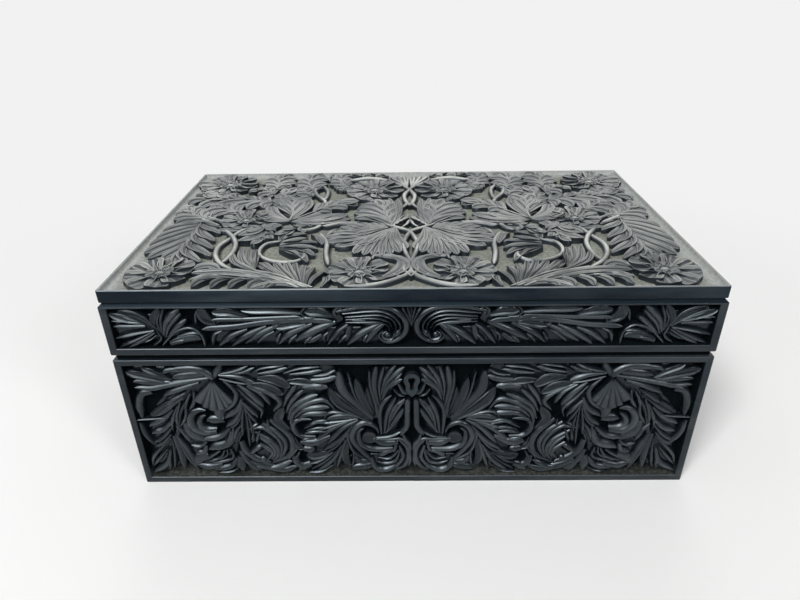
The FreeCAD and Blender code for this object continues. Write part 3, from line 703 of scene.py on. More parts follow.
    def fan(
        self,
        root: Sequence[float],
        tips: Sequence[Sequence[float]],
        *,
        bow: float = 0.0,
        top: float = 0.0,
        crown: float = -0.8,
        fat: float = 1.05,
        sharp: float = 0.6,
        droop: float = 0.25,
        root_width: float = 0.22,
        belly: float = 0.72,
        twin: int = 0,
    ) -> None:
        """Lobes that spread from one root.

        Args:
            root: where they start.
            tips: their ends, in order round the fan.
            bow: how far each lobe bows to the left of its own way, as a share of its length.
            top: height of the lobes.
            crown: see stroke.
            fat: width of the lobes, as a share of the room between their tips.
            sharp: see lobe.
            droop: see lobe.
            root_width: see lobe.
            belly: see lobe.
            twin: see lobe.
        """
        ends = [np.array(t[:2], float) for t in tips]
        p0 = np.array(root[:2], float)
        for n, tip in enumerate(ends):
            mates = [float(np.linalg.norm(tip - ends[m])) for m in (n - 1, n + 1) if 0 <= m < len(ends)]
            room = sum(mates) / len(mates) if mates else 5.0
            gap = tip - p0
            mid = p0 + 0.5 * gap + bow * turn(gap, 90)
            self.lobe(
                [p0, mid, tip], min(fat * room, 0.7 * float(np.linalg.norm(gap))), top + 0.12 * (n % 2), crown=crown,
                root=root_width, belly=belly, sharp=sharp, droop=droop, sink=0.6, twin=twin,
            )

    def crescents(
        self, centre: Sequence[float], radii: Sequence[float], angles: Pair, width: float, *, step: float = 0.0,
        drift: Pair = (0.0, 0.0), top: float = 0.0, crown: float = 0.5, lean: float = 0.3, twin: int = 0,
    ) -> None:
        """Crescent lobes one inside another round a curl's eye.

        Args:
            centre: the eye.
            radii: one for each crescent.
            angles: where they start and stop, in degrees anticlockwise from the right.
            width: width of the outermost.
            step: degrees by which each next one starts later.
            drift: how far each next one's centre moves.
            top: height.
            crown: see stroke.
            lean: see stroke.
            twin: see lobe.
        """
        for n, r in enumerate(radii):
            x, y = centre[0] + n * drift[0], centre[1] + n * drift[1]
            spread = np.radians(np.linspace(angles[0] + n * step, angles[1] + 0.4 * n * step, 9))
            shrink = np.linspace(1.0, 0.86, 9)
            path = np.column_stack([x + r * shrink * np.cos(spread), y + r * shrink * np.sin(spread)])
            way = 1 if angles[1] > angles[0] else -1
            self.lobe(
                path, width * (0.6 + 0.4 * r / radii[0]), top - 0.1 * n, crown=crown, lean=way * lean, root=0.35,
                belly=0.5, droop=0.5, count=16, twin=twin,
            )

    def flower(
        self, centre: Pair, radius: float, *, petals: int = 11, phase: float = 0.0, top: float = 0.2,
        squash: float = 1.0, eye: float = 0.34, dish: float = 2.2,
    ) -> None:
        """An open flower: dished petals with notched ends, an inner whorl and a domed eye.

        Args:
            centre: its middle.
            radius: to the petals' ends.
            petals: how many.
            phase: degrees by which the first petal is turned.
            top: height of the petals' ends.
            squash: height of the flower as a share of its width.
            eye: radius of the inner whorl, as a share.
            dish: how far the petals sink towards the eye.
        """
        c = np.array(centre)
        pitch = 360 / petals

        def spoke(degrees: float, r: float) -> np.ndarray:
            """A place on the flower."""
            a = math.radians(degrees)
            return c + np.array([r * math.cos(a), squash * r * math.sin(a)])

        for n in range(petals):
            a = phase + n * pitch + 4 * self.hand.standard_normal()
            r = radius * (1 + 0.05 * self.hand.standard_normal())
            wide = 2 * math.pi * radius * 0.8 / petals
            lift = 0.2 if n % 2 else 0.0
            path = [spoke(a, radius * 0.2), spoke(a + 0.1 * pitch, radius * 0.6), spoke(a, r)]
            self.lobe(
                path, wide * 1.24, top + lift - 1.0, crown=-1.3, lean=1.15, root=0.34, belly=0.8, sharp=0.3,
                sink=dish, droop=-0.5, count=14,
            )
            for part in (-0.3, 0.3):
                path = [spoke(a, radius * 0.3), spoke(a + part * pitch * 0.6, radius * 0.62), spoke(a + part * pitch, r * 0.97)]
                self.rib(path, (0.4, 1.1), top + lift - 0.7 - part * 2.0, 0.4, taper=0.2, count=8)
        for n in range(7):
            a = phase + 20 + n * 360 / 7
            path = [spoke(a, radius * 0.06), spoke(a, radius * eye * 0.7), spoke(a, radius * eye * 1.25)]
            self.lobe(path, radius * eye * 0.85, top - 0.75, crown=-0.7, root=0.6, sink=1.6, droop=-0.4, sharp=0.45)
        self.boss(centre, radius * 0.14, top - 0.5, 0.8)
        for n in range(8):
            x, y = spoke(n * 45 + 10, radius * 0.19)
            self.boss((x, y), 0.55, top - 0.1, 0.5, count=7)

    def boss(self, centre: Pair, radius: float, top: float, dome: float, count: int = 11) -> None:
        """A round domed boss.

        Args:
            centre: its middle.
            radius: its radius.
            top: height of its middle.
            dome: how far its edge lies below.
            count: number of stations.
        """
        t = np.sin(np.linspace(-math.pi / 2, math.pi / 2, count))
        line = np.column_stack([centre[0] + t * radius, centre[1] + 0 * t])
        half = np.maximum(radius * np.sqrt(np.maximum(1 - t**2, 0)), 0.03)
        self.stroke(line, half, top - dome * t**2, dome)

    def scroll(
        self, path: Sequence[Sequence[float]], width: float | Pair, ribs: int = 3, top: float = 0.0, crown: float = 0.6
    ) -> None:
        """A reeded band of ribs side by side along one path.

        Args:
            path: points along the band's middle.
            width: width of the whole band, or its widths at the start and the end.
            ribs: how many ribs.
            top: height of the middle rib.
            crown: see stroke.
        """
        count = 40
        line = flow(path, count)[:, :2]
        along = np.gradient(line, axis=0)
        along /= np.linalg.norm(along, axis=1, keepdims=True)
        sideways = np.column_stack([along[:, 1], -along[:, 0]])
        ends = (width, width) if isinstance(width, (int, float)) else width
        band = np.interp(np.linspace(0, 1, count), [0, 1], ends)
        band = band * np.clip(np.linspace(0, 1, count) / 0.12, 0.3, 1)
        for n in range(ribs):
            off = (n - (ribs - 1) / 2) / ribs
            middle = line + sideways * (band * off)[:, None]
            half = np.maximum(band / ribs * 0.54, 0.05)
            self.stroke(middle, half, top - 0.5 * abs(off) + np.zeros(count), crown)

    def mirrored(self) -> None:
        """Adds the mirror image of every stroke about the upright middle line."""
        for s in list(self.strokes):
            flip = np.array([-1.0, 1.0])
            self.strokes.append(
                {**s, "line": s["line"] * flip, "side": -s["side"] * flip, "lean": -s["lean"]}
            )

    def cut(
        self, name: str, tree: CutTree, material: bpy.types.Material, place: Matrix, ceiling: float, keep: int = 0
    ) -> bpy.types.Object:
        """Sweeps the strokes into one piece.

        Args:
            name: the piece's name.
            tree: the sweep.
            material: its finish.
            place: from the field's plane, in metres, to the frame.
            ceiling: height above which nothing stands.
            keep: -1 for the strokes left of the middle, 1 for the rest, 0 for all.

        Returns:
            The piece, in place in the frame.
        """
        columns: dict[str, list[np.ndarray]] = {k: [] for k in ("co", "side", "half", "crown", "lean")}
        edges = []
        total = 0
        chosen = [s for s in self.strokes if not keep or (keep < 0) == (float(s["line"][:, 0].mean()) < 0)]
        for s in chosen:
            n = len(s["line"])
            columns["co"].append(np.column_stack([s["line"], s["top"]]) * MM)
            columns["side"].append(np.column_stack([s["side"], np.zeros(n)]))
            columns["half"].append(s["half"] * MM)
            columns["crown"].append(s["crown"] * MM * np.ones(n))
            columns["lean"].append(s["lean"] * MM * np.ones(n))
            edges += [(total + i, total + i + 1) for i in range(n - 1)]
            total += n
        data = {k: np.concatenate(v) for k, v in columns.items()}
        mesh = bpy.data.meshes.new(name)
        mesh.from_pydata(data["co"].tolist(), edges, [])
        for key, label in (("half", "half_width"), ("crown", "crown"), ("lean", "lean")):
            mesh.attributes.new(label, "FLOAT", "POINT").data.foreach_set("value", data[key].astype(np.float32))
        foot = np.full(total, self.ground * MM, np.float32)
        mesh.attributes.new("ground", "FLOAT", "POINT").data.foreach_set("value", foot)
        side = mesh.attributes.new("sideways", "FLOAT_VECTOR", "POINT")
        side.data.foreach_set("vector", data["side"].astype(np.float32).ravel())
        obj = new_object(name, mesh)
        modifier = obj.modifiers.new("cuts", "NODES")
        modifier.node_group = tree.group
        ends = {"Reach X": self.reach[0] * MM, "Reach Y": self.reach[1] * MM}
        set_inputs(modifier, {"Shoulder": 0.28 * MM, "Ceiling": ceiling * MM, **ends, "Material": material})
        solid = bake(obj)
        deep = np.empty(len(solid.vertices) * 3)
        solid.vertices.foreach_get("co", deep)
        low = np.clip(deep.reshape(-1, 3)[:, 2] / (self.ground * MM), 0, 1).astype(np.float32)
        solid.attributes.new("depth", "FLOAT", "POINT").data.foreach_set("value", low)
        soften(solid, 48)
        mark_facing(solid)
        solid.transform(place)
        log.info("%s: %d strokes, %d faces", name, len(chosen), len(solid.polygons))
        return obj


# Patterns. Each drawing is squared from the field's upper left corner, as the carver squares it.


@dataclass(frozen=True)
class Squared:
    """A squared drawing: places are counted from its upper left corner, right and down."""

    left: float
    upper: float
    squares_per_mm: float

    def __call__(self, *places: Sequence[float]) -> list[list[float]]:
        """The places in millimetres from the field's origin; a third number is kept."""
        k = self.squares_per_mm
        return [[self.left + p[0] / k, self.upper - p[1] / k, *p[2:]] for p in places]


@dataclass
class LidTopCarving:
    """Flowers, leaves and crossed stems on the lid's top board."""

    ground: float = -3.0
    proud: float = 0.9

    def draw(self) -> Relief:
        """The whole field, drawn for the left half and mirrored.

        Returns:
            The relief, with heights counted from the rim.
        """
        r = Relief(self.ground, seed=7, reach=(161.6, 98.6))
        q = Squared(-165.0, 101.4, 5.0)
        self._leaves(r, q)
        self._flowers(r, q)
        self._middle(r, q)
        self._stems(r, q)
        r.mirrored()
        return r

    def _flowers(self, r: Relief, q: Squared) -> None:
        """The five flowers of the left half."""
        top = self.proud - 0.5
        for place, radius, petals, phase in (
            ((140, 140), 22.0, 11, 10),
            ((134, 900), 18.6, 9, 0),
            ((697, 215), 21.5, 10, 25),
            ((682, 904), 18.2, 9, 8),
            ((285, 512), 16.5, 9, 15),
        ):
            (x, y), = q(place)
            r.flower((x, y), radius, petals=petals, phase=phase, top=top)

    def _leaves(self, r: Relief, q: Squared) -> None:
        """The hollowed leaves of the left half."""
        # The leaf that hangs along the left margin
        r.lobes(q, LEAF, (
            (36, 140, 536, 96, 562, 40, 606), (38, 144, 556, 98, 602, 40, 660), (38, 147, 582, 102, 642, 38, 714),
            (38, 148, 618, 106, 690, 42, 768), (34, 149, 664, 118, 734, 66, 804), (28, 150, 712, 136, 764, 108, 810),
            (30, 142, 540, 176, 584, 228, 622), (32, 146, 562, 174, 632, 226, 682), (32, 148, 594, 170, 674, 236, 738),
            (32, 150, 630, 170, 722, 246, 792), (30, 150, 672, 166, 766, 226, 832), (26, 150, 716, 160, 790, 188, 838),
            (22, 150, 750, 150, 800, 150, 838),
        ))
        r.bands(q, 0.7, 0.1, ((7, 142, 530, 149, 640, 151, 790),))
        r.acanthus(q((170, 515), (110, 470), (45, 395)), q((60, 540), (40, 500), (32, 455), (110, 385), (78, 372), (150, 410),
                   (165, 450)), fat=1.15)
        r.acanthus(q((245, 450), (190, 400), (120, 385)), q((165, 470), (205, 478), (132, 455), (235, 372), (180, 350)))
        r.acanthus(q((345, 345), (220, 310), (62, 300)), q((85, 250), (135, 254), (185, 258), (240, 266), (300, 280), (45, 345),
                   (95, 390), (150, 398), (205, 410), (265, 408), (320, 398)), top=-0.2)
        r.lobe(q((206, 552), (160, 520), (108, 470)), 5.0, 0.5, crown=1.2, root=0.6)
        # The leaf that grows from the front edge
        r.lobes(q, LEAF, (
            (19, 394, 894, 330, 845, 302, 776), (19, 394, 892, 346, 830, 322, 738), (18, 394, 890, 362, 820, 346, 738),
            (17, 394, 888, 374, 820, 366, 748), (15, 394, 886, 386, 830, 384, 780), (18, 470, 930, 420, 884, 390, 842),
            (20, 500, 950, 444, 900, 404, 838), (20, 512, 954, 468, 896, 438, 836), (20, 522, 958, 490, 896, 470, 834),
            (19, 530, 962, 508, 900, 498, 842), (18, 538, 966, 528, 910, 530, 858), (18, 546, 974, 544, 926, 558, 872),
            (18, 556, 984, 566, 944, 590, 902), (30, 480, 958, 340, 914, 222, 902), (24, 420, 940, 310, 930, 232, 944),
            (22, 300, 925, 266, 952, 246, 984), (20, 340, 932, 312, 962, 300, 992), (20, 384, 938, 358, 968, 350, 994),
            (20, 432, 948, 410, 974, 402, 998), (18, 474, 962, 452, 984, 442, 1000), (24, 566, 1000, 480, 978, 404, 1000),
            (20, 590, 990, 600, 960, 596, 930), (30, 296, 888, 262, 866, 222, 880),
        ))
        r.bands(q, 0.8, 0.35, (
            (9, 330, 884, 420, 914, 500, 960, 552, 1000), (9, 346, 900, 430, 930, 500, 974, 536, 1000),
            (8, 390, 892, 460, 920, 520, 964, 570, 1000),
        ))
        # The large leaves left of the middle
        r.acanthus(q((432, 520), (428, 430), (408, 322)), q((350, 372), (345, 335), (372, 300), (470, 290), (482, 330)),
                   sweep=1.5)
        r.lobe(q((430, 515), (470, 400), (462, 300)), 8.0, 0.2, crown=-0.8, droop=0.2)
        r.acanthus(q((436, 520), (520, 425), (655, 322)), q((560, 330), (520, 350), (645, 382), (612, 418), (560, 442)),
                   sweep=1.2, top=0.1, vein=1.8)
        r.fan(q((436, 522))[0], q((560, 448), (618, 470), (630, 510), (590, 530), (545, 540)), top=-0.1, bow=-0.12)
        r.fan(q((428, 520))[0], q((345, 500), (318, 462), (318, 420), (342, 385)), bow=0.12)
        r.acanthus(q((768, 572), (745, 470), (722, 322)), q((642, 500), (636, 455), (645, 408), (662, 375), (690, 345),
                   (800, 470), (795, 420), (788, 370)), sweep=1.5, vein=1.6)
        r.lobe(q((768, 570), (770, 450), (752, 305)), 5.2, 0.3, crown=-0.6, root=0.3)
        r.lobe(q((770, 570), (790, 460), (782, 312)), 4.4, 0.2, crown=-0.6, root=0.3)
        # The drooping flower and the fluted bunch under it
        r.fan(q((755, 590))[0], q((722, 566), (690, 560), (655, 556), (622, 562), (600, 585)), top=0.3, bow=0.15)
        r.fan(q((750, 600))[0], q((596, 600), (580, 630), (560, 665), (565, 705), (600, 738), (650, 735)), top=0.1, bow=0.12)
        r.fan(q((745, 598))[0], q((705, 585), (690, 600), (668, 612), (650, 632), (655, 660)), top=0.7, fat=1.2)
        r.fan(q((778, 585))[0], q((660, 790), (690, 803), (716, 805), (742, 806), (767, 800), (792, 786), (812, 760)),
              bow=-0.06, crown=-0.7, top=0.25, sharp=0.45, belly=0.82)
        # The curled leaves between the flowers
        r.acanthus(q((548, 560), (470, 590), (420, 660)), q((505, 555), (452, 560), (415, 598), (400, 640), (490, 625)),
                   fat=1.3)
        r.lobes(q, LEAF, (
            (28, 428, 684, 462, 652, 504, 634), (28, 430, 700, 480, 686, 512, 666), (28, 432, 716, 490, 706, 552, 704),
            (28, 434, 728, 496, 736, 552, 748), (27, 440, 740, 504, 760, 548, 796), (25, 446, 748, 500, 784, 532, 838),
            (26, 440, 752, 470, 772, 504, 800), (24, 520, 640, 545, 670, 560, 716), (22, 425, 676, 430, 640, 448, 612),
        ))
        r.acanthus(q((350, 585), (375, 610), (372, 695)), q((305, 615), (292, 650), (300, 690), (345, 716), (398, 640),
                   (405, 675), (400, 610)), top=0.3, vein=0)
        r.fan(q((370, 600))[0], q((300, 580), (325, 552), (365, 545), (405, 552)), top=-0.1)
        # Along the back edge
        r.acanthus(q((385, 395), (372, 300), (388, 190)), q((345, 360), (335, 310), (340, 260), (352, 215), (415, 340),
                   (422, 290), (418, 245), (410, 205)), sweep=1.4)
        r.acanthus(q((330, 200), (322, 110), (335, 25)), q((278, 170), (262, 125), (268, 75), (295, 35), (380, 165), (392, 120),
                   (388, 75), (368, 35)), top=-0.1)
        r.acanthus(q((470, 225), (440, 130), (450, 25)), q((398, 190), (388, 140), (395, 90), (415, 40), (500, 185), (512, 135),
                   (512, 85), (492, 35)), top=-0.1)
        r.acanthus(q((600, 210), (560, 120), (560, 25)), q((515, 40), (515, 90), (520, 140), (540, 180), (600, 35), (610, 90)),
                   top=-0.2)
        r.acanthus(q((582, 225), (585, 165), (590, 100)), q((552, 210), (556, 160), (618, 195), (612, 150)), fat=1.1, top=0.3)
        r.lobe(q((745, 92), (670, 74), (590, 100)), 8.6, 0.3, crown=0.7, droop=0.4)
        r.acanthus(q((745, 45), (680, 35), (590, 45)), q((720, 16), (680, 14), (640, 16), (605, 20), (700, 70), (650, 70)),
                   top=-0.6)
        r.acanthus(q((335, 260), (290, 215), (225, 235)), q((300, 180), (255, 190), (318, 290), (275, 275), (330, 205)), top=-0.1)
        r.acanthus(q((470, 285), (440, 235), (425, 190)), q((405, 240), (485, 240), (465, 190), (410, 270)), top=-0.1)
        r.acanthus(q((250, 250), (120, 258), (45, 245)), q((50, 275), (120, 290), (70, 225), (180, 285)), top=-0.5, vein=0)
        # Small leaves that fill the corners between stems
        r.lobe(q((655, 545), (600, 535), (548, 570)), 5.4, -0.3, crown=0.6)
        r.lobe(q((560, 650), (575, 610), (590, 580)), 4.0, -0.6, crown=0.5)
        r.lobe(q((735, 800), (800, 830), (795, 900), (745, 945)), 8.0, 0.0, crown=-0.8, root=0.3, droop=0.3)
        r.lobe(q((700, 330), (715, 345), (690, 320)), 6.0, -0.4, crown=0.5)
        r.fan(q((140, 260))[0], q((80, 262), (110, 285), (150, 292), (195, 280)), top=-0.4)
        r.fan(q((700, 335))[0], q((670, 318), (690, 352), (722, 345)), top=-0.2)
        r.lobe(q((295, 590), (250, 600), (205, 585)), 5.4, -0.2, crown=-0.3)
        r.lobe(q((215, 560), (190, 545), (150, 520)), 4.4, -0.4, crown=0.4)

    def _middle(self, r: Relief, q: Squared) -> None:
        """The fan at the back, the chevrons and the leaf tips along the middle line."""
        for x, y, w in ((752, 62, 3.6), (778, 48, 3.4), (803, 45, 3.2), (822, 62, 2.6)):
            r.lobe(q((818, 190), (0.5 * 815 + 0.5 * x, 120), (x, y)), w, 0.3, crown=0.4, root=0.3, belly=0.75, droop=0.1)
        for n, (x, y) in enumerate(((770, 545), (782, 525), (794, 505))):
            r.rib(q((x, y + 40), (x + 12, y + 5), (823, y - 40 + 12 * n)), 1.8, 0.4, 0.4, taper=0.1)
        r.lobe(q((818, 330), (812, 380), (790, 420)), 3.0, 0.2, crown=0.5)
        r.lobe(q((800, 580), (815, 560), (823, 520)), 2.4, 0.4, crown=0.4)

    def _stems(self, r: Relief, q: Squared) -> None:
        """The round stems that cross one another."""
        over, under = 0.4, -0.7
        for width, *line in (
            (3.6, (742, 100, over), (790, 160, 0), (823, 215, over), (843, 280, 0), (838, 340, 0), (820, 400, under)),
            (3.6, (905, 105, under), (862, 160, 0), (826, 205, under), (806, 270, 0), (812, 345, 0), (830, 400, over)),
            (3.6, (742, 560, 0), (790, 590, 0), (825, 628, over), (845, 700, 0), (843, 760, 0), (825, 830, under),
             (805, 885, 0), (825, 940, 0)),
            (3.8, (240, 600, 0), (274, 650, over), (296, 700, 0), (303, 750, 0), (298, 800, under), (284, 846, under)),
            (3.8, (330, 572, 0), (290, 606, 0), (266, 664, under), (251, 722, 0), (257, 782, 0), (286, 844, over),
             (334, 892, 0)),
            (3.6, (480, 155, 0), (476, 215, 0), (492, 275, over), (524, 330, 0), (530, 370, 0)),
            (3.6, (500, 165, 0), (522, 215, 0), (526, 270, under), (520, 330, 0)),
            (3.2, (434, 694, 0), (394, 706, 0), (380, 750, 0), (394, 800, 0), (440, 834, 0), (494, 836, 0), (518, 806, 0),
             (512, 770, 0)),
            (3.8, (545, 635, 0), (572, 700, 0), (579, 780, 0), (594, 860, under)),
            (3.6, (545, 545, 0), (520, 590, 0), (470, 610, 0)),
            (3.4, (130, 470, 0), (180, 500, 0), (220, 530, 0)),
            (4.2, (660, 545, 0), (600, 545, 0), (545, 575, 0)),
            (3.8, (716, 830, 0), (722, 802, 0), (770, 800, 0), (805, 830, 0), (822, 870, 0), (815, 920, 0), (740, 975, 0),
             (650, 994, 0)),
            (3.0, (800, 940, 0), (760, 905, under), (745, 890, under)),
        ):
            r.rib(q(*line), width, 0.35, 1.3)


@dataclass(frozen=True)
class Gouge:
    """How a run of lobes is cut; the fields are those of Relief.lobe."""

    crown: float = 2.3
    top: float = -0.25
    lean: float = 0.0
    root: float = 0.4
    belly: float = 0.7
    sharp: float = 0.5
    sink: float = 0.9
    droop: float = 0.9
    twin: float = 0.0
    fat: float = 1.0


CLUB = Gouge(fat=1.22, crown=2.8, sharp=0.6)
BOLD = Gouge(fat=1.5, crown=2.6, root=0.5, belly=0.6, sharp=0.6)
LEAF = Gouge(crown=-1.6, top=-0.35, lean=0.6, root=0.42, belly=0.62, sharp=0.56, sink=0.5, droop=0.45, fat=1.1)
SLIM = Gouge(crown=1.5, top=-0.4, root=0.5, sharp=0.6, sink=0.6, fat=1.15)
SMOOTH = Gouge(crown=1.7, top=-0.9, root=0.75, belly=0.6, sink=0.3, droop=0.6, fat=1.1)
SPOON = Gouge(crown=-1.2, top=-1.5, root=0.35, belly=0.66, sink=0.7, droop=0.1, twin=1.0)
SPOON_RIGHT = Gouge(crown=-1.2, top=-1.5, root=0.35, belly=0.66, sink=0.7, droop=0.1, twin=-1.0)
ARCH = Gouge(crown=2.3, top=-0.3, root=0.55, belly=0.5, sharp=0.6, sink=0.9, droop=1.0, fat=1.14)


@dataclass
class WallCarving:
    """Scrolls and acanthus leaves in the sunk fields of the walls.

    Each row of a drawing is one stroke: its width, then the places along its middle, in squares of the drawing.
    """

    ground: float = -5.0

    def place(self, side: Side) -> Matrix:
        """From a wall's own plane to the frame."""
        a = math.pi / 2 * side.value
        along = Vector((math.cos(a), math.sin(a), 0))
        out = Vector((math.sin(a), -math.cos(a), 0))
        face = (BOX_DEPTH if side in (Side.FRONT, Side.BACK) else BOX_WIDTH) / 2 * MM
        pose = Matrix((along, Vector((0, 0, 1)), out)).transposed().to_4x4()
        pose.translation = out * face
        return pose

    def base(self, side: Side) -> Relief:
        """The relief of a base wall.

        Args:
            side: which wall.

        Returns:
            The relief, mirrored about the wall's middle.
        """
        r = Relief(self.ground, seed=11 + side.value)
        long = side in (Side.FRONT, Side.BACK)
        q = Squared(-165.0 if long else -101.5, 90.9, 6.0)
        r.bands(q, 0.8, -3.0, (
            (70, 40, 66, 150, 74, 300, 70), (70, 300, 90, 200, 150, 110, 236), (84, 110, 226, 96, 330, 90, 430, 92, 500),
            (56, 180, 300, 210, 400, 236, 484), (74, 400, 66, 560, 62, 736, 66), (66, 430, 112, 556, 136, 690, 118),
            (66, 396, 110, 428, 190, 402, 310), (56, 340, 330, 330, 400, 300, 480), (84, 486, 300, 510, 400, 420, 480),
        ))
        self._horn_and_shell(r, q)
        self._long_leaf(r, q)
        self._ringed_curl(r, q)
        self._top_leaf(r, q)
        self._great_curl(r, q)
        if long:
            r.bands(q, 0.8, -3.0, (
                (80, 566, 210, 650, 230, 720, 330, 650, 430), (96, 800, 260, 740, 330, 690, 420, 690, 490),
                (80, 856, 260, 880, 140, 930, 50), (50, 926, 190, 926, 260, 900, 330), (56, 850, 256, 780, 180, 736, 96),
                (64, 920, 480, 860, 462, 760, 470),
            ))
            self._arched_leaf(r, q)
            self._great_fan(r, q)
            self._upright_leaf(r, q, keyhole=side is Side.FRONT)
            self._scroll(r, q)
        else:
            r.strokes = [s for s in r.strokes if s["line"][:, 0].max() < 1.5]
            self._base_short_middle(r, q)
        r.mirrored()
        return r

    def lid(self, side: Side) -> Relief:
        """The relief of a lid wall.

        Args:
            side: which wall.

        Returns:
            The relief, mirrored about the wall's middle.
        """
        r = Relief(self.ground, seed=23 + side.value)
        long = side in (Side.FRONT, Side.BACK)
        q = Squared(-165.0 if long else -101.5, 124.3, 6.0)
        self._palmette(r, q)
        if long:
            self._band(r, q)
            self._lid_scroll(r, q)
        else:
            self._short_band(r, q)
            self._lid_scroll(r, Squared(-101.5 - 381 / 6, 124.3, 6.0))
        r.mirrored()
        return r

    def _horn_and_shell(self, r: Relief, q: Squared) -> None:
        """The upper corner leaf, the horn and the pleated shell that hangs from it."""
        r.lobes(q, SPOON, ((36, 178, 96, 110, 72, 30, 52), (26, 180, 86, 140, 58, 86, 34)))
        r.lobes(q, SMOOTH, ((26, 170, 100, 110, 96, 46, 92), (34, 290, 64, 240, 70, 182, 78)))
        r.lobes(q, CLUB, (
            (27, 306, 80, 220, 95, 150, 110, 100, 122, 46, 116), (26, 270, 98, 205, 122, 138, 152),
        ))
        r.bands(q, 1.7, -0.1, ((24, 156, 52, 178, 44, 215, 40), (30, 190, 43, 250, 39, 290, 50, 322, 80)))
        r.lobes(q, SMOOTH, ((30, 100, 136, 62, 148, 42, 196, 44, 250),))
        r.bands(q, 1.2, -0.5, ((9, 24, 254, 70, 252, 122, 246),))
        r.pleats(q, (318, 84), ((242, 160), (268, 190), (286, 206), (318, 213), (346, 202), (362, 192), (372, 166)), 0.1, 1.0)
        r.lobes(q, SMOOTH, ((42, 322, 190, 318, 225, 318, 256), (26, 318, 80, 338, 52, 352, 24)))

    def _long_leaf(self, r: Relief, q: Squared) -> None:
        """The long leaf that falls from the shell to the lower corner."""
        r.lobes(q, SPOON, ((24, 214, 140, 172, 160, 132, 184), (30, 204, 158, 142, 192, 78, 236)))
        r.lobes(q, CLUB, (
            (24, 196, 152, 170, 170, 140, 192), (22, 172, 186, 135, 215, 86, 240), (28, 160, 212, 118, 254, 62, 284),
            (27, 146, 262, 112, 300, 64, 318), (20, 142, 290, 104, 334, 62, 362), (21, 132, 322, 104, 354, 68, 380),
            (20, 80, 384, 44, 334, 30, 268), (20, 130, 340, 82, 388, 48, 430, 36, 468), (18, 106, 390, 74, 430, 38, 472),
            (28, 116, 396, 92, 462, 30, 506), (15, 132, 352, 126, 424, 114, 492), (16, 118, 404, 106, 440, 98, 496),
        ))
        r.lobes(q, SMOOTH, ((28, 140, 330, 148, 410, 150, 492), (22, 150, 320, 170, 420, 202, 502), (22, 176, 400, 190, 440, 196, 480)))
        r.lobes(q, SLIM, (
            (14, 232, 142, 214, 176, 202, 212), (15, 246, 138, 238, 180, 216, 214), (14, 206, 180, 200, 240, 172, 288),
            (14, 192, 176, 170, 232, 160, 284), (13, 178, 196, 152, 250, 140, 300), (12, 166, 216, 150, 262, 124, 292),
        ))
        r.lobes(q, CLUB, ((20, 156, 284, 180, 320, 196, 360), (20, 148, 320, 170, 372, 188, 424)))
        r.bands(q, 1.0, -1.6, ((18, 230, 150, 180, 230, 152, 330, 124, 410),))

    def _ringed_curl(self, r: Relief, q: Squared) -> None:
        """The curl under the shell and the lobes about it."""
        r.lobes(q, SMOOTH, ((42, 196, 270, 200, 320, 252, 356),))
        r.lobes(q, ARCH, (
            (34, 296, 314, 250, 318, 216, 292, 212, 250, 236, 222, 274, 216),
            (25, 300, 300, 262, 300, 242, 280, 248, 254, 270, 236),
        ))
        r.lobes(q, CLUB, ((29, 346, 298, 304, 336, 244, 348), (38, 350, 310, 332, 366, 256, 394)))
        r.lobes(q, SLIM, (
            (15, 254, 358, 226, 380, 194, 374), (22, 250, 374, 238, 404, 206, 412), (15, 334, 392, 336, 436, 252, 464),
            (14, 314, 396, 292, 432, 242, 454), (14, 296, 402, 268, 422, 240, 440), (12, 322, 392, 318, 420, 280, 446),
        ))
        r.lobes(q, CLUB, ((30, 352, 436, 326, 476, 262, 492), (14, 366, 468, 330, 498, 276, 508)))
        r.lobes(q, SMOOTH, ((44, 250, 430, 214, 440, 200, 470), (30, 296, 470, 240, 484, 204, 470), (34, 330, 262, 300, 262, 268, 262)))

    def _top_leaf(self, r: Relief, q: Squared) -> None:
        """The leaf along the top edge, and the lobes that fall from the shell towards the curl."""
        r.lobes(q, CLUB, (
            (18, 346, 62, 398, 50, 446, 28), (19, 388, 62, 428, 54, 466, 36), (15, 448, 62, 492, 38, 566, 28),
            (22, 474, 62, 524, 54, 576, 38), (14, 560, 60, 616, 40, 684, 34), (21, 582, 66, 636, 60, 690, 50),
            (16, 660, 72, 702, 66, 734, 48), (28, 636, 92, 694, 90, 738, 76), (30, 620, 122, 660, 118, 706, 122),
            (24, 340, 68, 404, 76, 462, 102),
        ))
        r.lobes(q, SPOON, ((36, 432, 104, 500, 116, 552, 146), (40, 470, 80, 530, 84, 578, 114), (30, 560, 96, 610, 92, 664, 100)))
        r.lobes(q, CLUB, (
            (22, 440, 112, 506, 148, 536, 184, 508, 222), (20, 430, 114, 476, 146, 500, 192), (26, 398, 106, 436, 146, 476, 202),
            (15, 394, 120, 432, 170, 468, 214, 460, 252), (19, 400, 176, 428, 212, 452, 246),
            (22, 350, 86, 388, 138, 374, 186, 334, 222), (28, 404, 168, 386, 212, 336, 250), (24, 402, 200, 376, 254, 334, 290),
        ))
        r.lobes(q, SLIM, (
            (12, 402, 184, 424, 234, 446, 278), (12, 410, 204, 412, 280, 406, 380), (13, 398, 236, 372, 276, 346, 296),
            (10, 342, 80, 400, 96, 452, 106), (13, 404, 210, 392, 280, 388, 330), (12, 418, 240, 424, 290, 418, 320),
        ))
        r.lobes(q, CLUB, ((20, 360, 284, 350, 334, 326, 378), (20, 396, 270, 368, 310, 352, 356)))
        r.lobes(q, SPOON, ((22, 396, 296, 372, 330, 360, 362),))

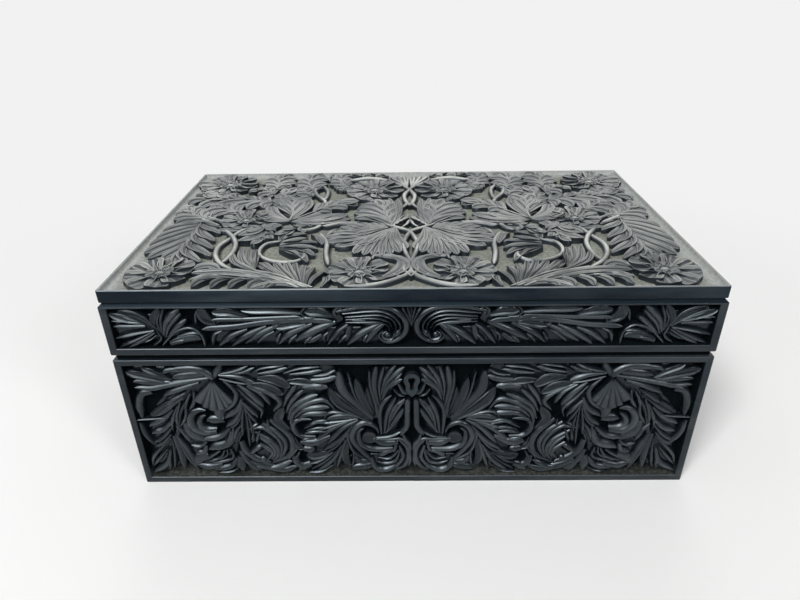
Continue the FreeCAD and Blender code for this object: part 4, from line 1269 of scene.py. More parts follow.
    def _great_curl(self, r: Relief, q: Squared) -> None:
        """The great curl: crescents from one root sweep over and down round its eye."""
        r.lobes(q, ARCH, (
            (29, 490, 262, 546, 322, 562, 372, 546, 424, 476, 464), (22, 462, 276, 506, 310, 534, 356, 532, 398, 504, 446),
            (21, 412, 304, 462, 296, 504, 334, 520, 376, 514, 416, 494, 446), (22, 432, 314, 482, 352, 506, 390, 500, 428, 482, 452),
            (20, 446, 340, 484, 374, 496, 408, 480, 444), (22, 442, 370, 470, 392, 486, 414, 462, 448),
        ))
        r.lobes(q, CLUB, (
            (24, 404, 416, 426, 396, 452, 374), (16, 404, 312, 426, 290, 448, 276), (17, 428, 306, 424, 334, 420, 362),
            (15, 452, 306, 440, 336, 432, 362), (12, 482, 258, 484, 274, 484, 292), (28, 420, 482, 490, 486, 552, 452),
            (15, 540, 444, 560, 414, 578, 390), (13, 556, 448, 574, 424, 584, 404),
        ))
        r.lobes(q, SMOOTH, (
            (28, 376, 356, 386, 402, 420, 440, 476, 466), (26, 368, 402, 388, 456, 434, 500), (36, 366, 430, 360, 466, 366, 502),
            (34, 400, 452, 450, 480, 520, 500, 566, 480), (30, 562, 428, 570, 468, 606, 488), (26, 392, 470, 410, 490, 420, 506),
        ))
        r.lobes(q, SPOON_RIGHT, ((34, 556, 304, 522, 256, 546, 206),))
        (x, y), = q((447, 442))
        r.boss((x, y), 2.1, -0.6, 1.4)

    def _arched_leaf(self, r: Relief, q: Squared) -> None:
        """The leaf that arches over towards the great fan, and the curl under it."""
        r.lobes(q, CLUB, (
            (22, 546, 200, 566, 156, 600, 108), (22, 552, 226, 580, 172, 622, 130), (25, 556, 258, 584, 196, 670, 150),
            (26, 580, 250, 622, 214, 706, 206), (27, 586, 262, 626, 236, 706, 236),
        ))
        r.lobes(q, ARCH, (
            (24, 566, 308, 572, 238, 624, 192, 690, 178, 726, 222), (23, 646, 338, 594, 334, 570, 296, 586, 264, 640, 258),
        ))
        r.lobes(q, SLIM, (
            (14, 730, 290, 664, 270, 608, 300), (12, 724, 300, 660, 296, 616, 310), (12, 712, 272, 680, 262, 640, 270),
            (16, 690, 316, 650, 314, 610, 322),
        ))
        r.lobes(q, CLUB, ((36, 700, 336, 640, 366, 588, 362), (15, 640, 348, 612, 344, 592, 358)))
        r.lobes(q, SPOON, ((40, 700, 410, 650, 424, 606, 424), (26, 570, 340, 576, 370, 600, 394)))
        r.lobes(q, SMOOTH, ((26, 556, 330, 566, 372, 590, 400), (30, 600, 396, 622, 400, 640, 396), (34, 620, 470, 600, 480, 574, 500)))

    def _great_fan(self, r: Relief, q: Squared) -> None:
        """The great fan left of the keyhole, with lobes up, left and down."""
        r.lobes(q, SPOON, ((36, 852, 266, 790, 226, 734, 178, 708, 122), (30, 856, 246, 822, 168, 800, 84), (22, 864, 240, 846, 180, 836, 122)))
        r.lobes(q, CLUB, (
            (38, 852, 258, 796, 190, 752, 130, 744, 54), (14, 856, 250, 800, 168, 774, 56), (13, 852, 264, 800, 214, 716, 128),
            (16, 868, 250, 864, 190, 850, 138),
        ))
        r.lobes(q, ARCH, ((14, 800, 250, 744, 228, 700, 230, 680, 262),))
        r.lobes(q, SMOOTH, ((26, 800, 252, 740, 248, 690, 262),))
        r.lobes(q, CLUB, (
            (14, 800, 256, 730, 268, 652, 276), (14, 790, 258, 730, 278, 654, 310), (22, 780, 264, 706, 304, 640, 362),
            (25, 802, 264, 742, 304, 688, 372), (21, 780, 288, 734, 350, 670, 402), (16, 770, 310, 724, 374, 680, 414),
            (24, 740, 376, 704, 442, 644, 500), (18, 752, 350, 732, 424, 712, 492), (13, 724, 398, 680, 446, 620, 492),
            (13, 776, 388, 778, 440, 766, 486), (13, 706, 408, 660, 446, 606, 470), (14, 700, 470, 660, 500, 610, 508),
        ))
        r.lobes(q, SPOON_RIGHT, ((28, 764, 340, 748, 420, 762, 478),))
        r.lobes(q, SMOOTH, ((28, 780, 430, 802, 458, 842, 458), (16, 768, 300, 760, 340, 766, 380), (34, 770, 490, 810, 486, 846, 476)))

    def _upright_leaf(self, r: Relief, q: Squared, keyhole: bool) -> None:
        """The upright leaf beside the keyhole, and the smooth stiles of the slot under it.

        Args:
            r: the relief.
            q: the squared drawing.
            keyhole: whether room is left for a keyhole.
        """
        r.lobes(q, CLUB, (
            (18, 880, 306, 868, 200, 850, 120, 848, 50), (27, 878, 210, 862, 120, 872, 34), (18, 882, 180, 880, 110, 898, 34),
            (20, 884, 156, 902, 84, 938, 30), (23, 888, 146, 912, 92, 966, 38), (17, 890, 134, 926, 98, 958, 62),
            (26, 888, 172, 908, 122, 958, 88), (22, 882, 326, 878, 236, 890, 190, 922, 154), (22, 892, 322, 904, 236, 936, 162),
            (20, 904, 314, 918, 236, 950, 174), (20, 912, 276, 938, 214, 966, 176), (24, 898, 320, 934, 262, 962, 212),
            (15, 864, 342, 912, 336, 958, 312),
        ))
        r.lobes(q, SLIM, ((9, 914, 262, 926, 206, 968, 168), (14, 944, 104, 958, 136, 974, 152), (12, 928, 128, 944, 150, 966, 160)))
        if not keyhole:
            r.lobes(q, CLUB, ((20, 986, 160, 980, 100, 972, 34), (18, 990, 150, 990, 90, 990, 34)))
        r.bands(q, 1.4, -0.3, ((24, 976, 168, 974, 230, 972, 290, 950, 326), (15, 958, 322, 966, 350, 982, 372, 983, 404)))

    def _scroll(self, r: Relief, q: Squared) -> None:
        """One of the pair of scrolls under the keyhole, and the low curl beside the slot's foot."""
        r.lobes(q, ARCH, (
            (27, 838, 446, 800, 396, 776, 344, 790, 298, 826, 278, 862, 298, 872, 324),
            (15, 836, 452, 782, 410, 764, 356, 768, 318), (26, 920, 396, 850, 398, 806, 370, 800, 320, 820, 300),
        ))
        (x, y), = q((838, 344))
        r.boss((x, y), 4.4, -2.6, -1.1)
        r.lobes(q, SMOOTH, ((30, 940, 368, 890, 372, 850, 350),))
        r.bands(q, 1.0, -0.6, ((12, 862, 346, 910, 350, 952, 348, 974, 372, 984, 404),))
        r.lobes(q, ARCH, (
            (25, 942, 350, 972, 388, 978, 432, 962, 476, 928, 500), (20, 944, 380, 958, 428, 944, 464, 930, 492),
            (17, 948, 398, 930, 450, 892, 466, 860, 454), (14, 944, 400, 908, 440, 866, 436),
            (27, 842, 436, 852, 480, 886, 500, 924, 484, 946, 454),
        ))
        r.lobes(q, CLUB, ((17, 932, 358, 930, 390, 912, 412), (28, 932, 404, 900, 408, 872, 430), (16, 982, 404, 984, 440, 978, 480)))

    def _base_short_middle(self, r: Relief, q: Squared) -> None:
        """The upright leaf in the middle of a short wall."""
        r.bands(q, 0.8, -3.0, ((70, 560, 60, 576, 180, 600, 330), (60, 600, 360, 596, 440, 600, 500)))
        r.lobes(q, CLUB, (
            (24, 600, 330, 560, 240, 530, 120), (24, 602, 330, 572, 230, 566, 90), (24, 604, 330, 590, 220, 596, 60),
            (22, 600, 250, 552, 150, 500, 70), (20, 596, 230, 552, 110, 520, 40), (20, 600, 210, 570, 100, 556, 38),
            (20, 604, 200, 590, 100, 588, 36), (22, 598, 400, 566, 350, 546, 270), (20, 602, 420, 584, 370, 574, 300),
            (24, 600, 500, 570, 450, 556, 380), (20, 604, 504, 590, 450, 590, 390), (18, 590, 300, 556, 270, 520, 200),
        ))
        r.lobes(q, SMOOTH, ((26, 606, 500, 602, 430, 608, 360), (26, 600, 506, 572, 500, 548, 504)))

    def _palmette(self, r: Relief, q: Squared) -> None:
        """The corner palmette of a lid wall."""
        r.lobes(q, SPOON_RIGHT, ((36, 166, 84, 124, 42, 58, 16), (28, 134, 66, 80, 44, 28, 26), (28, 180, 100, 168, 52, 192, 6)))
        r.lobes(q, SMOOTH, ((20, 134, 76, 80, 77, 30, 76), (12, 130, 62, 70, 56, 26, 54), (36, 204, 142, 262, 122, 306, 124)))
        r.lobes(q, CLUB, (
            (18, 160, 90, 96, 102, 30, 118), (17, 156, 94, 100, 122, 40, 150), (19, 162, 98, 120, 124, 66, 152),
            (13, 166, 106, 144, 122, 112, 136), (13, 186, 104, 188, 56, 204, 8), (28, 188, 108, 206, 58, 254, 10),
            (19, 194, 114, 214, 72, 258, 26), (23, 200, 118, 232, 82, 272, 48), (14, 232, 112, 282, 98, 314, 106),
        ))
        r.lobes(q, SLIM, ((11, 168, 88, 178, 120, 146, 148), (11, 206, 136, 236, 128, 262, 126)))
        r.bands(q, 0.8, -3.3, ((96, 28, 84, 150, 86, 262, 92),))
        r.bands(q, 0.9, -0.4, ((10, 178, 144, 226, 96, 264, 80, 292, 84, 312, 108, 318, 148),))

    def _band(self, r: Relief, q: Squared) -> None:
        """The leaf band between the palmette and the scroll of a long lid wall."""
        r.lobes(q, SPOON, ((40, 372, 66, 334, 44, 322, 4), (34, 470, 42, 412, 24, 356, 24), (26, 650, 30, 560, 18, 450, 18),
                           (30, 660, 68, 610, 70, 552, 82), (34, 742, 40, 700, 26, 650, 24)))
        r.bands(q, 1.0, -0.5, (
            (9, 364, 66, 346, 36, 332, 6), (10, 300, 62, 306, 26, 322, 4), (17, 640, 42, 540, 46, 450, 50, 352, 50),
            (22, 740, 60, 620, 54, 520, 62, 420, 78, 318, 84), (10, 546, 84, 554, 56, 580, 46, 650, 62),
            (10, 650, 40, 640, 26, 656, 6), (12, 752, 40, 744, 24, 760, 4), (10, 762, 4, 774, 18, 792, 8),
        ))
        r.bands(q, 0.8, -3.2, ((72, 345, 127, 600, 126, 890, 127), (54, 345, 56, 560, 52, 770, 56)))
        r.lobes(q, BOLD, (
            (13, 380, 92, 352, 108, 342, 146), (19, 462, 88, 410, 112, 362, 150), (21, 524, 78, 458, 112, 404, 152),
            (15, 548, 96, 516, 114, 488, 140), (20, 566, 72, 510, 100, 450, 140), (13, 568, 104, 556, 124, 552, 144),
            (21, 672, 70, 600, 104, 558, 144), (24, 748, 64, 690, 88, 614, 132), (12, 722, 100, 706, 116, 708, 140),
            (17, 786, 74, 752, 102, 718, 148), (13, 784, 108, 768, 124, 752, 144), (21, 886, 72, 830, 106, 782, 148),
            (12, 848, 110, 838, 124, 836, 142), (22, 900, 72, 868, 102, 842, 142), (16, 684, 46, 656, 48, 642, 38),
            (14, 690, 8, 710, 14, 722, 26), (14, 620, 110, 600, 126, 590, 144), (14, 668, 116, 650, 132, 640, 146),
        ))
        r.lobes(q, SMOOTH, ((24, 790, 78, 786, 104, 778, 132), (24, 700, 112, 670, 132, 640, 142), (22, 800, 60, 850, 66, 900, 74)))

    def _short_band(self, r: Relief, q: Squared) -> None:
        """The few leaves between palmette and scroll on a short lid wall."""
        r.bands(q, 0.8, -3.2, ((76, 340, 122, 400, 122, 480, 120),))
        r.lobes(q, BOLD, (
            (17, 392, 74, 366, 104, 340, 146), (18, 430, 76, 400, 108, 370, 148), (18, 470, 78, 440, 110, 410, 148),
            (20, 372, 60, 342, 46, 330, 14), (18, 384, 52, 366, 30, 362, 8),
        ))

    def _lid_scroll(self, r: Relief, q: Squared) -> None:
        """The reeded scroll and the small fan in the middle of a lid wall."""
        r.lobes(q, ARCH, (
            (24, 750, 26, 840, 8, 920, 14, 966, 52, 972, 98, 944, 132, 908, 140, 884, 118, 900, 94),
            (13, 770, 32, 880, 22, 930, 42, 954, 80, 944, 116), (10, 780, 44, 880, 36, 924, 52, 940, 80, 938, 104),
            (9, 780, 54, 866, 48, 914, 64, 930, 92), (9, 780, 64, 870, 62, 910, 76, 922, 98),
            (14, 936, 104, 926, 128, 902, 124, 896, 110, 910, 98),
        ))
        r.lobes(q, SMOOTH, ((22, 932, 118, 944, 110, 950, 96),))
        (x, y), = q((912, 112))
        r.boss((x, y), 1.6, -0.7, 0.9)
        r.lobes(q, CLUB, ((13, 990, 78, 976, 40, 958, 6), (13, 991, 76, 984, 36, 976, 4), (10, 991, 70, 990, 36, 990, 4)))

    def build(self, tree: CutTree, wood: bpy.types.Material) -> None:
        """Cuts all eight fields.

        Args:
            tree: the sweep.
            wood: the finish.
        """
        for side in Side:
            for body, relief in (("base", self.base(side)), ("lid", self.lid(side))):
                halves = (-1, 1) if body == "base" else (0,)
                for keep in halves:
                    tail = {-1: "_left", 1: "_right", 0: ""}[keep]
                    name = f"{side.name.lower()}_{body}_carving{tail}"
                    piece = relief.cut(name, tree, wood, self.place(side), -0.05, keep)
                    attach(piece, body)


# Boards


def subtract(obj: bpy.types.Object, cutters: Sequence[bpy.types.Mesh]) -> None:
    """Cuts shapes out of a piece and does away with the cutters.

    Args:
        obj: the piece.
        cutters: closed meshes in the frame.
    """
    for mesh in cutters:
        tool = new_object("cutter", mesh)
        modifier = obj.modifiers.new("cut", "BOOLEAN")
        modifier.object = tool
        modifier.operation = "DIFFERENCE"
        modifier.solver = "EXACT"
        bpy.context.view_layer.update()
        bake(obj)
        bpy.data.objects.remove(tool)


def closed_loops(loops: Sequence[np.ndarray], name: str) -> bpy.types.Mesh:
    """A closed mesh from a stack of rings of equal length.

    Args:
        loops: each an array of places in metres.
        name: the mesh's name.

    Returns:
        The mesh, its first and last rings capped, facing outwards.
    """
    n = len(loops[0])
    places = np.concatenate(loops).tolist()
    faces = [tuple(range(n)), tuple(reversed(range((len(loops) - 1) * n, len(loops) * n)))]
    for i in range(len(loops) - 1):
        for j in range(n):
            k = (j + 1) % n
            faces.append((i * n + k, i * n + j, (i + 1) * n + j, (i + 1) * n + k))
    mesh = bpy.data.meshes.new(name)
    mesh.from_pydata(places, [], faces)
    work = bmesh.new()
    work.from_mesh(mesh)
    bmesh.ops.recalc_face_normals(work, faces=work.faces)
    work.to_mesh(mesh)
    work.free()
    return mesh


def rectangle(low: Pair, high: Pair, radius: float = 0.0, steps: int = 4) -> np.ndarray:
    """A flat rectangle, rounded where a radius is given.

    Args:
        low: its lower left corner.
        high: its upper right corner.
        radius: of its corners.
        steps: divisions of each corner.

    Returns:
        Its points, anticlockwise.
    """
    if radius <= 0:
        return np.array([low, (high[0], low[1]), high, (low[0], high[1])])
    points = []
    for n, (x, y) in enumerate(((high[0], high[1]), (low[0], high[1]), (low[0], low[1]), (high[0], low[1]))):
        cx = x - radius if x == high[0] else x + radius
        cy = y - radius if y == high[1] else y + radius
        for k in range(steps + 1):
            a = math.pi / 2 * (n + k / steps)
            points.append((cx + radius * math.cos(a), cy + radius * math.sin(a)))
    return np.array(points)


def turned_block(
    side: Side, face: float, low: Pair, high: Pair, insets: Sequence[Pair], radius: float = 0.0
) -> bpy.types.Mesh:
    """A cutter that goes into an upright face.

    Args:
        side: which face.
        face: how far the face stands from the middle.
        low: lower left corner, along the face and up.
        high: upper right corner.
        insets: rings from outside to inside, each a depth and how much wider than the corners it is.
        radius: of its corners.

    Returns:
        The closed mesh in the frame.
    """
    loops = []
    for depth, flare in insets:
        flat = rectangle((low[0] - flare, low[1] - flare), (high[0] + flare, high[1] + flare), radius)
        loops.append(on_face(side, face, flat[:, 0], depth + 0 * flat[:, 0], flat[:, 1]))
    return closed_loops(loops, "block")


def on_face(side: Side, face: float, along: np.ndarray, inset: np.ndarray, height: np.ndarray) -> np.ndarray:
    """Places on an upright face, in the frame and in metres.

    Args:
        side: which face.
        face: how far it stands from the middle.
        along: distances to the right of its middle.
        inset: distances behind it.
        height: heights above the floor.

    Returns:
        Rows of places.
    """
    x, y = along, inset - face
    for _ in range(side.value):
        x, y = -y, x
    return np.column_stack([x, y, height]) * MM


def rounded(section: Sequence[tuple[float, float, float]], steps: int = 3) -> np.ndarray:
    """A section with its corners eased.

    Args:
        section: inset, height and easing of each corner.
        steps: divisions of each eased corner.

    Returns:
        Rows of inset and height.
    """
    p = np.array([c[:2] for c in section])
    points = []
    for n, (*_, ease) in enumerate(section):
        if ease <= 0:
            points.append(p[n])
            continue
        before, after = p[n - 1] - p[n], p[(n + 1) % len(p)] - p[n]
        a = p[n] + before / np.linalg.norm(before) * ease
        b = p[n] + after / np.linalg.norm(after) * ease
        for t in np.linspace(0, 1, steps + 1):
            points.append((1 - t) ** 2 * a + 2 * t * (1 - t) * p[n] + t**2 * b)
    return np.array(points)


def mark_facing(mesh: bpy.types.Mesh) -> None:
    """Keeps how far each corner of the mesh faces up its own Z, for the dust that lies there and for the rim's pale
    top, which is partly painted highlight.
    """
    facing = np.empty(len(mesh.loops) * 3)
    mesh.corner_normals.foreach_get("vector", facing)
    upward = np.clip(facing.reshape(-1, 3)[:, 2], 0, 1).astype(np.float32)
    mesh.attributes.new("facing", "FLOAT", "CORNER").data.foreach_set("value", upward)


@dataclass(frozen=True)
class BoardWoods:
    """The finishes of the boards: walls, their sunk fields and bevels, and the top board. The fields' near-black finish
    is partly painted shade, the bevels' near-black finish is painted shadow under the top board, and the rim's pale
    finish is partly dust and partly painted highlight.
    """

    face: bpy.types.Material
    ground: bpy.types.Material
    bevel: bpy.types.Material
    top: bpy.types.Material
    top_ground: bpy.types.Material
    rim: bpy.types.Material


@dataclass
class WallBoards:
    """The mitred boards of the base and the lid, with the sunk fields that the carving fills."""

    corner: float = 1.1
    ground_depth: float = 5.0
    lip: float = 0.3
    base_field: tuple[float, float, float] = (4.2, 4.2, 87.3)
    lid_field: tuple[float, float, float] = (4.5, 98.5, 123.4)
    base_section: tuple[tuple[float, float, float], ...] = (
        (0, 0, 0.5), (0, 91, 0.8), (2.3, 91, 0.0), (2.3, 94.3, 0.3), (12.5, 94.3, 0.3), (12.5, 6, 0.0),
        (6.5, 6, 0.0), (6.5, 0, 0.2),
    )
    lid_section: tuple[tuple[float, float, float], ...] = (
        (0, 94.3, 0.7), (0, 124.3, 0.35), (2.0, 125.6, 0.2), (2.0, 126.8, 0.0), (12.5, 126.8, 0.0),
        (12.5, 94.3, 0.3),
    )

    def board(self, name: str, side: Side, section: np.ndarray, field_box: tuple[float, float, float]) -> bpy.types.Object:
        """One board with its sunk field.

        Args:
            name: the piece's name.
            side: which face it makes.
            section: rows of inset and height.
            field_box: stile width, bottom and top of its field.

        Returns:
            The piece.
        """
        along = side in (Side.FRONT, Side.BACK)
        length, face = (BOX_WIDTH, BOX_DEPTH / 2) if along else (BOX_DEPTH, BOX_WIDTH / 2)
        inset, height = section[:, 0], section[:, 1]
        r, steps = self.corner, 5
        loops = []
        for j in range(steps + 1):
            a = math.pi / 4 * j / steps
            rho = np.maximum(r - inset, 0)
            x = np.where(inset < r, length / 2 - r + rho * math.sin(a), length / 2 - inset - 0.6 * (1 - j / steps))
            n = np.where(inset < r, r - rho * math.cos(a), inset)
            loops.append((x, n))
        rings = [on_face(side, face, -x, n, height) for x, n in reversed(loops)]
        rings += [on_face(side, face, x, n, height) for x, n in loops]
        obj = new_object(name, closed_loops(rings, name))
        stile, low, high = field_box
        half = length / 2 - stile
        mouth = [(-2.0, self.lip), (0.0, self.lip), (self.lip, 0.0), (2.6, -0.2), (self.ground_depth, -1.6)]
        subtract(obj, [turned_block(side, face, (-half, low), (half, high), mouth)])
        return obj

    def dress(self, obj: bpy.types.Object, side: Side, woods: BoardWoods) -> None:
        """Gives a board its finishes: a dull, dusty, near-black field, the neck strip in the same near-black finish as
        painted shade, and a near-black bevel under the top board as painted shadow.
        """
        mesh = obj.data
        mesh.materials.clear()
        for wood in (woods.face, woods.ground, woods.bevel):
            mesh.materials.append(wood)
        face = (BOX_DEPTH if side in (Side.FRONT, Side.BACK) else BOX_WIDTH) / 2
        for polygon in mesh.polygons:
            x, y = polygon.center.x, polygon.center.y
            for _ in range(side.value):
                x, y = y, -x
            inset = y / MM + face
            z = polygon.center.z / MM
            # The neck strip (91.1 to 94.2 high) takes the near-black field finish as painted shade under the lid's
            # overhang, and the bevel above 124.35 the near-black bevel finish as painted shadow under the top board.
            inside = self.ground_depth + 0.2 > inset > 0.45 and (4 < z < 87.6 or 91.1 < z < 94.2 or 98.2 < z < 123.6)
            polygon.material_index = 1 if inside else 2 if z > 124.35 else 0
        soften(mesh)


def soften(mesh: bpy.types.Mesh, degrees: float = 40.0) -> None:
    """Smooth shading between faces that meet at less than an angle."""
    mesh.polygons.foreach_set("use_smooth", [True] * len(mesh.polygons))
    mesh.set_sharp_from_angle(angle=math.radians(degrees))


@dataclass
class Carcass:
    """All boards of the base and the lid."""

    walls: WallBoards = field(default_factory=WallBoards)

    def build(self, woods: BoardWoods) -> None:
        """Makes the eight walls and the top board.

        Args:
            woods: the finishes of the boards.
        """
        w = self.walls
        base, lid = rounded(w.base_section), rounded(w.lid_section)
        for side in Side:
            name = side.name.lower()
            piece = w.board(f"{name}_base_board", side, base, w.base_field)
            if side is Side.FRONT:
                self._lock_seats(piece)
            if side is Side.BACK:
                self._hinge_seats(piece)
            self._back_relief(piece, side)
            w.dress(piece, side, woods)
            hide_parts(f"base_{name}_wall")
            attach(piece, "base")
            piece = w.board(f"{name}_lid_board", side, lid, w.lid_field)
            if side is Side.FRONT:
                subtract(piece, [turned_block(side, 101.5, (-20.1, 90), (20.1, 95.5), ((5.4, 0), (14, 0)))])
            if side is Side.BACK:
                self._hinge_seats(piece)
            w.dress(piece, side, woods)
            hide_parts(f"lid_{name}_wall")
            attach(piece, "lid")
            log.info("%s boards", name)
        self._top(woods)

    def _lock_seats(self, piece: bpy.types.Object) -> None:
        """Cuts the seats of the lock, the keyhole and its escutcheon in the front wall."""
        face = BOX_DEPTH / 2
        f = 0.1
        cutters = [
            turned_block(Side.FRONT, face, (-24 - f, 66 - f), (24 + f, 97), ((11.3 - f, 0), (14, 0))),
            turned_block(Side.FRONT, face, (-24 - f, 92.8 - f), (24 + f, 97), ((5.5 - f, 0), (14, 0))),
            turned_block(Side.FRONT, face, (-19 - f, 67.4 - f), (19 + f, 97), ((5.5 - f, 0), (14, 0))),
        ]
        for outline, start, stop in ((self.shield(0.05), -1.0, 5.0), (self.keyhole(), -1.0, 6.5)):
            flat = np.array(outline)
            rings = [on_face(Side.FRONT, face, flat[:, 0], d + 0 * flat[:, 0], flat[:, 1]) for d in (start, stop)]
            cutters.append(closed_loops(rings, "shield"))
        subtract(piece, cutters)

    @staticmethod
    def shield(fit: float) -> list[Pair]:
        """Outline of the escutcheon.

        Args:
            fit: room left round it.

        Returns:
            Places across and up.
        """
        r = 4.6 + fit
        arc = [(r * math.cos(a), KEY_Z + r * math.sin(a)) for a in np.radians(np.linspace(-35, 215, 26))]
        return [*arc, (-3.3 - fit, KEY_Z - 4.6), (-3.7 - fit, KEY_Z - 7.9), (0, KEY_Z - 11.6 - fit),
                (3.7 + fit, KEY_Z - 7.9), (3.3 + fit, KEY_Z - 4.6)]

    @staticmethod
    def keyhole() -> list[Pair]:
        """Outline of the keyhole: a round head over a narrow slot."""
        head = [(2.15 * math.cos(a), KEY_Z + 2.15 * math.sin(a)) for a in np.radians(np.linspace(-59, 239, 20))]
        foot = [(1.1 * math.cos(a), KEY_Z - 5.7 + 1.1 * math.sin(a)) for a in np.radians(np.linspace(180, 360, 8))]
        return [*head, *foot]

    def _hinge_seats(self, piece: bpy.types.Object) -> None:
        """Cuts the hinges' notches and leaf seats in a back wall."""
        cutters = []
        for x in (-95.0, 95.0):
            ring = [(HINGE_Y + 2.5 * math.cos(a), SEAM_Z + 2.5 * math.sin(a)) for a in np.linspace(0, 2 * math.pi, 33)[:-1]]
            flat = np.array(ring)
            rings = [np.column_stack([e + 0 * flat[:, 0], flat]) * MM for e in (x - 19.4, x + 19.4)]
            cutters.append(closed_loops(rings, "notch"))
            low, high = np.array((x - 19.1, HINGE_Y - 9.1)), np.array((x + 19.1, HINGE_Y))
            flat = rectangle(tuple(low), tuple(high))
            rings = [np.column_stack([flat, z + 0 * flat[:, 0]]) * MM for z in (SEAM_Z - 1.2, SEAM_Z + 1.2)]
            cutters.append(closed_loops(rings, "leaf"))
        subtract(piece, cutters)

    def _back_relief(self, piece: bpy.types.Object, side: Side) -> None:
        """Steps the neck in at the back, so that the open lid leans past upright."""
        if side is Side.FRONT:
            return
        flat = rectangle((-170, HINGE_Y - 0.6), (170, 105))
        rings = [np.column_stack([flat, z + 0 * flat[:, 0]]) * MM for z in (91.0, 97.0)]
        subtract(piece, [closed_loops(rings, "relief")])

    def _top(self, woods: BoardWoods) -> None:
        """The top board: a narrow rim round a sunk field with a hollowed edge."""
        rows = (
            (0.35, 126.8), (0.1, 126.95), (0.0, 127.3), (0.0, 133.45), (0.12, 133.8), (0.45, 134.0), (1.05, 134.0),
            (1.3, 133.8), (1.42, 133.0), (1.7, 132.0), (2.3, 131.3), (3.2, 131.0),
        )
        rings = []
        for inset, z in rows:
            flat = rectangle((-164.2 + inset, -100.7 + inset), (164.2 - inset, 100.7 - inset), 1.2, 5)
            rings.append(np.column_stack([flat, z + 0 * flat[:, 0]]) * MM)
        mesh = closed_loops(rings, "lid_top")
        piece = new_object("lid_top_slab", mesh)
        for wood in (woods.top, woods.top_ground, woods.rim):
            mesh.materials.append(wood)
        for polygon in mesh.polygons:
            c = polygon.center / MM
            deep = c.z > 130.9 and abs(c.x) < 163.2 and abs(c.y) < 99.7
            # Faces above 133.5 are the rim's top, whose pale finish is partly dust and partly painted highlight.
            polygon.material_index = 1 if deep else 2 if c.z > 133.5 else 0
        soften(mesh)
        mark_facing(mesh)
        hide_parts("lid_top_board")
        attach(piece, "lid")
        log.info("top board")


# Studio


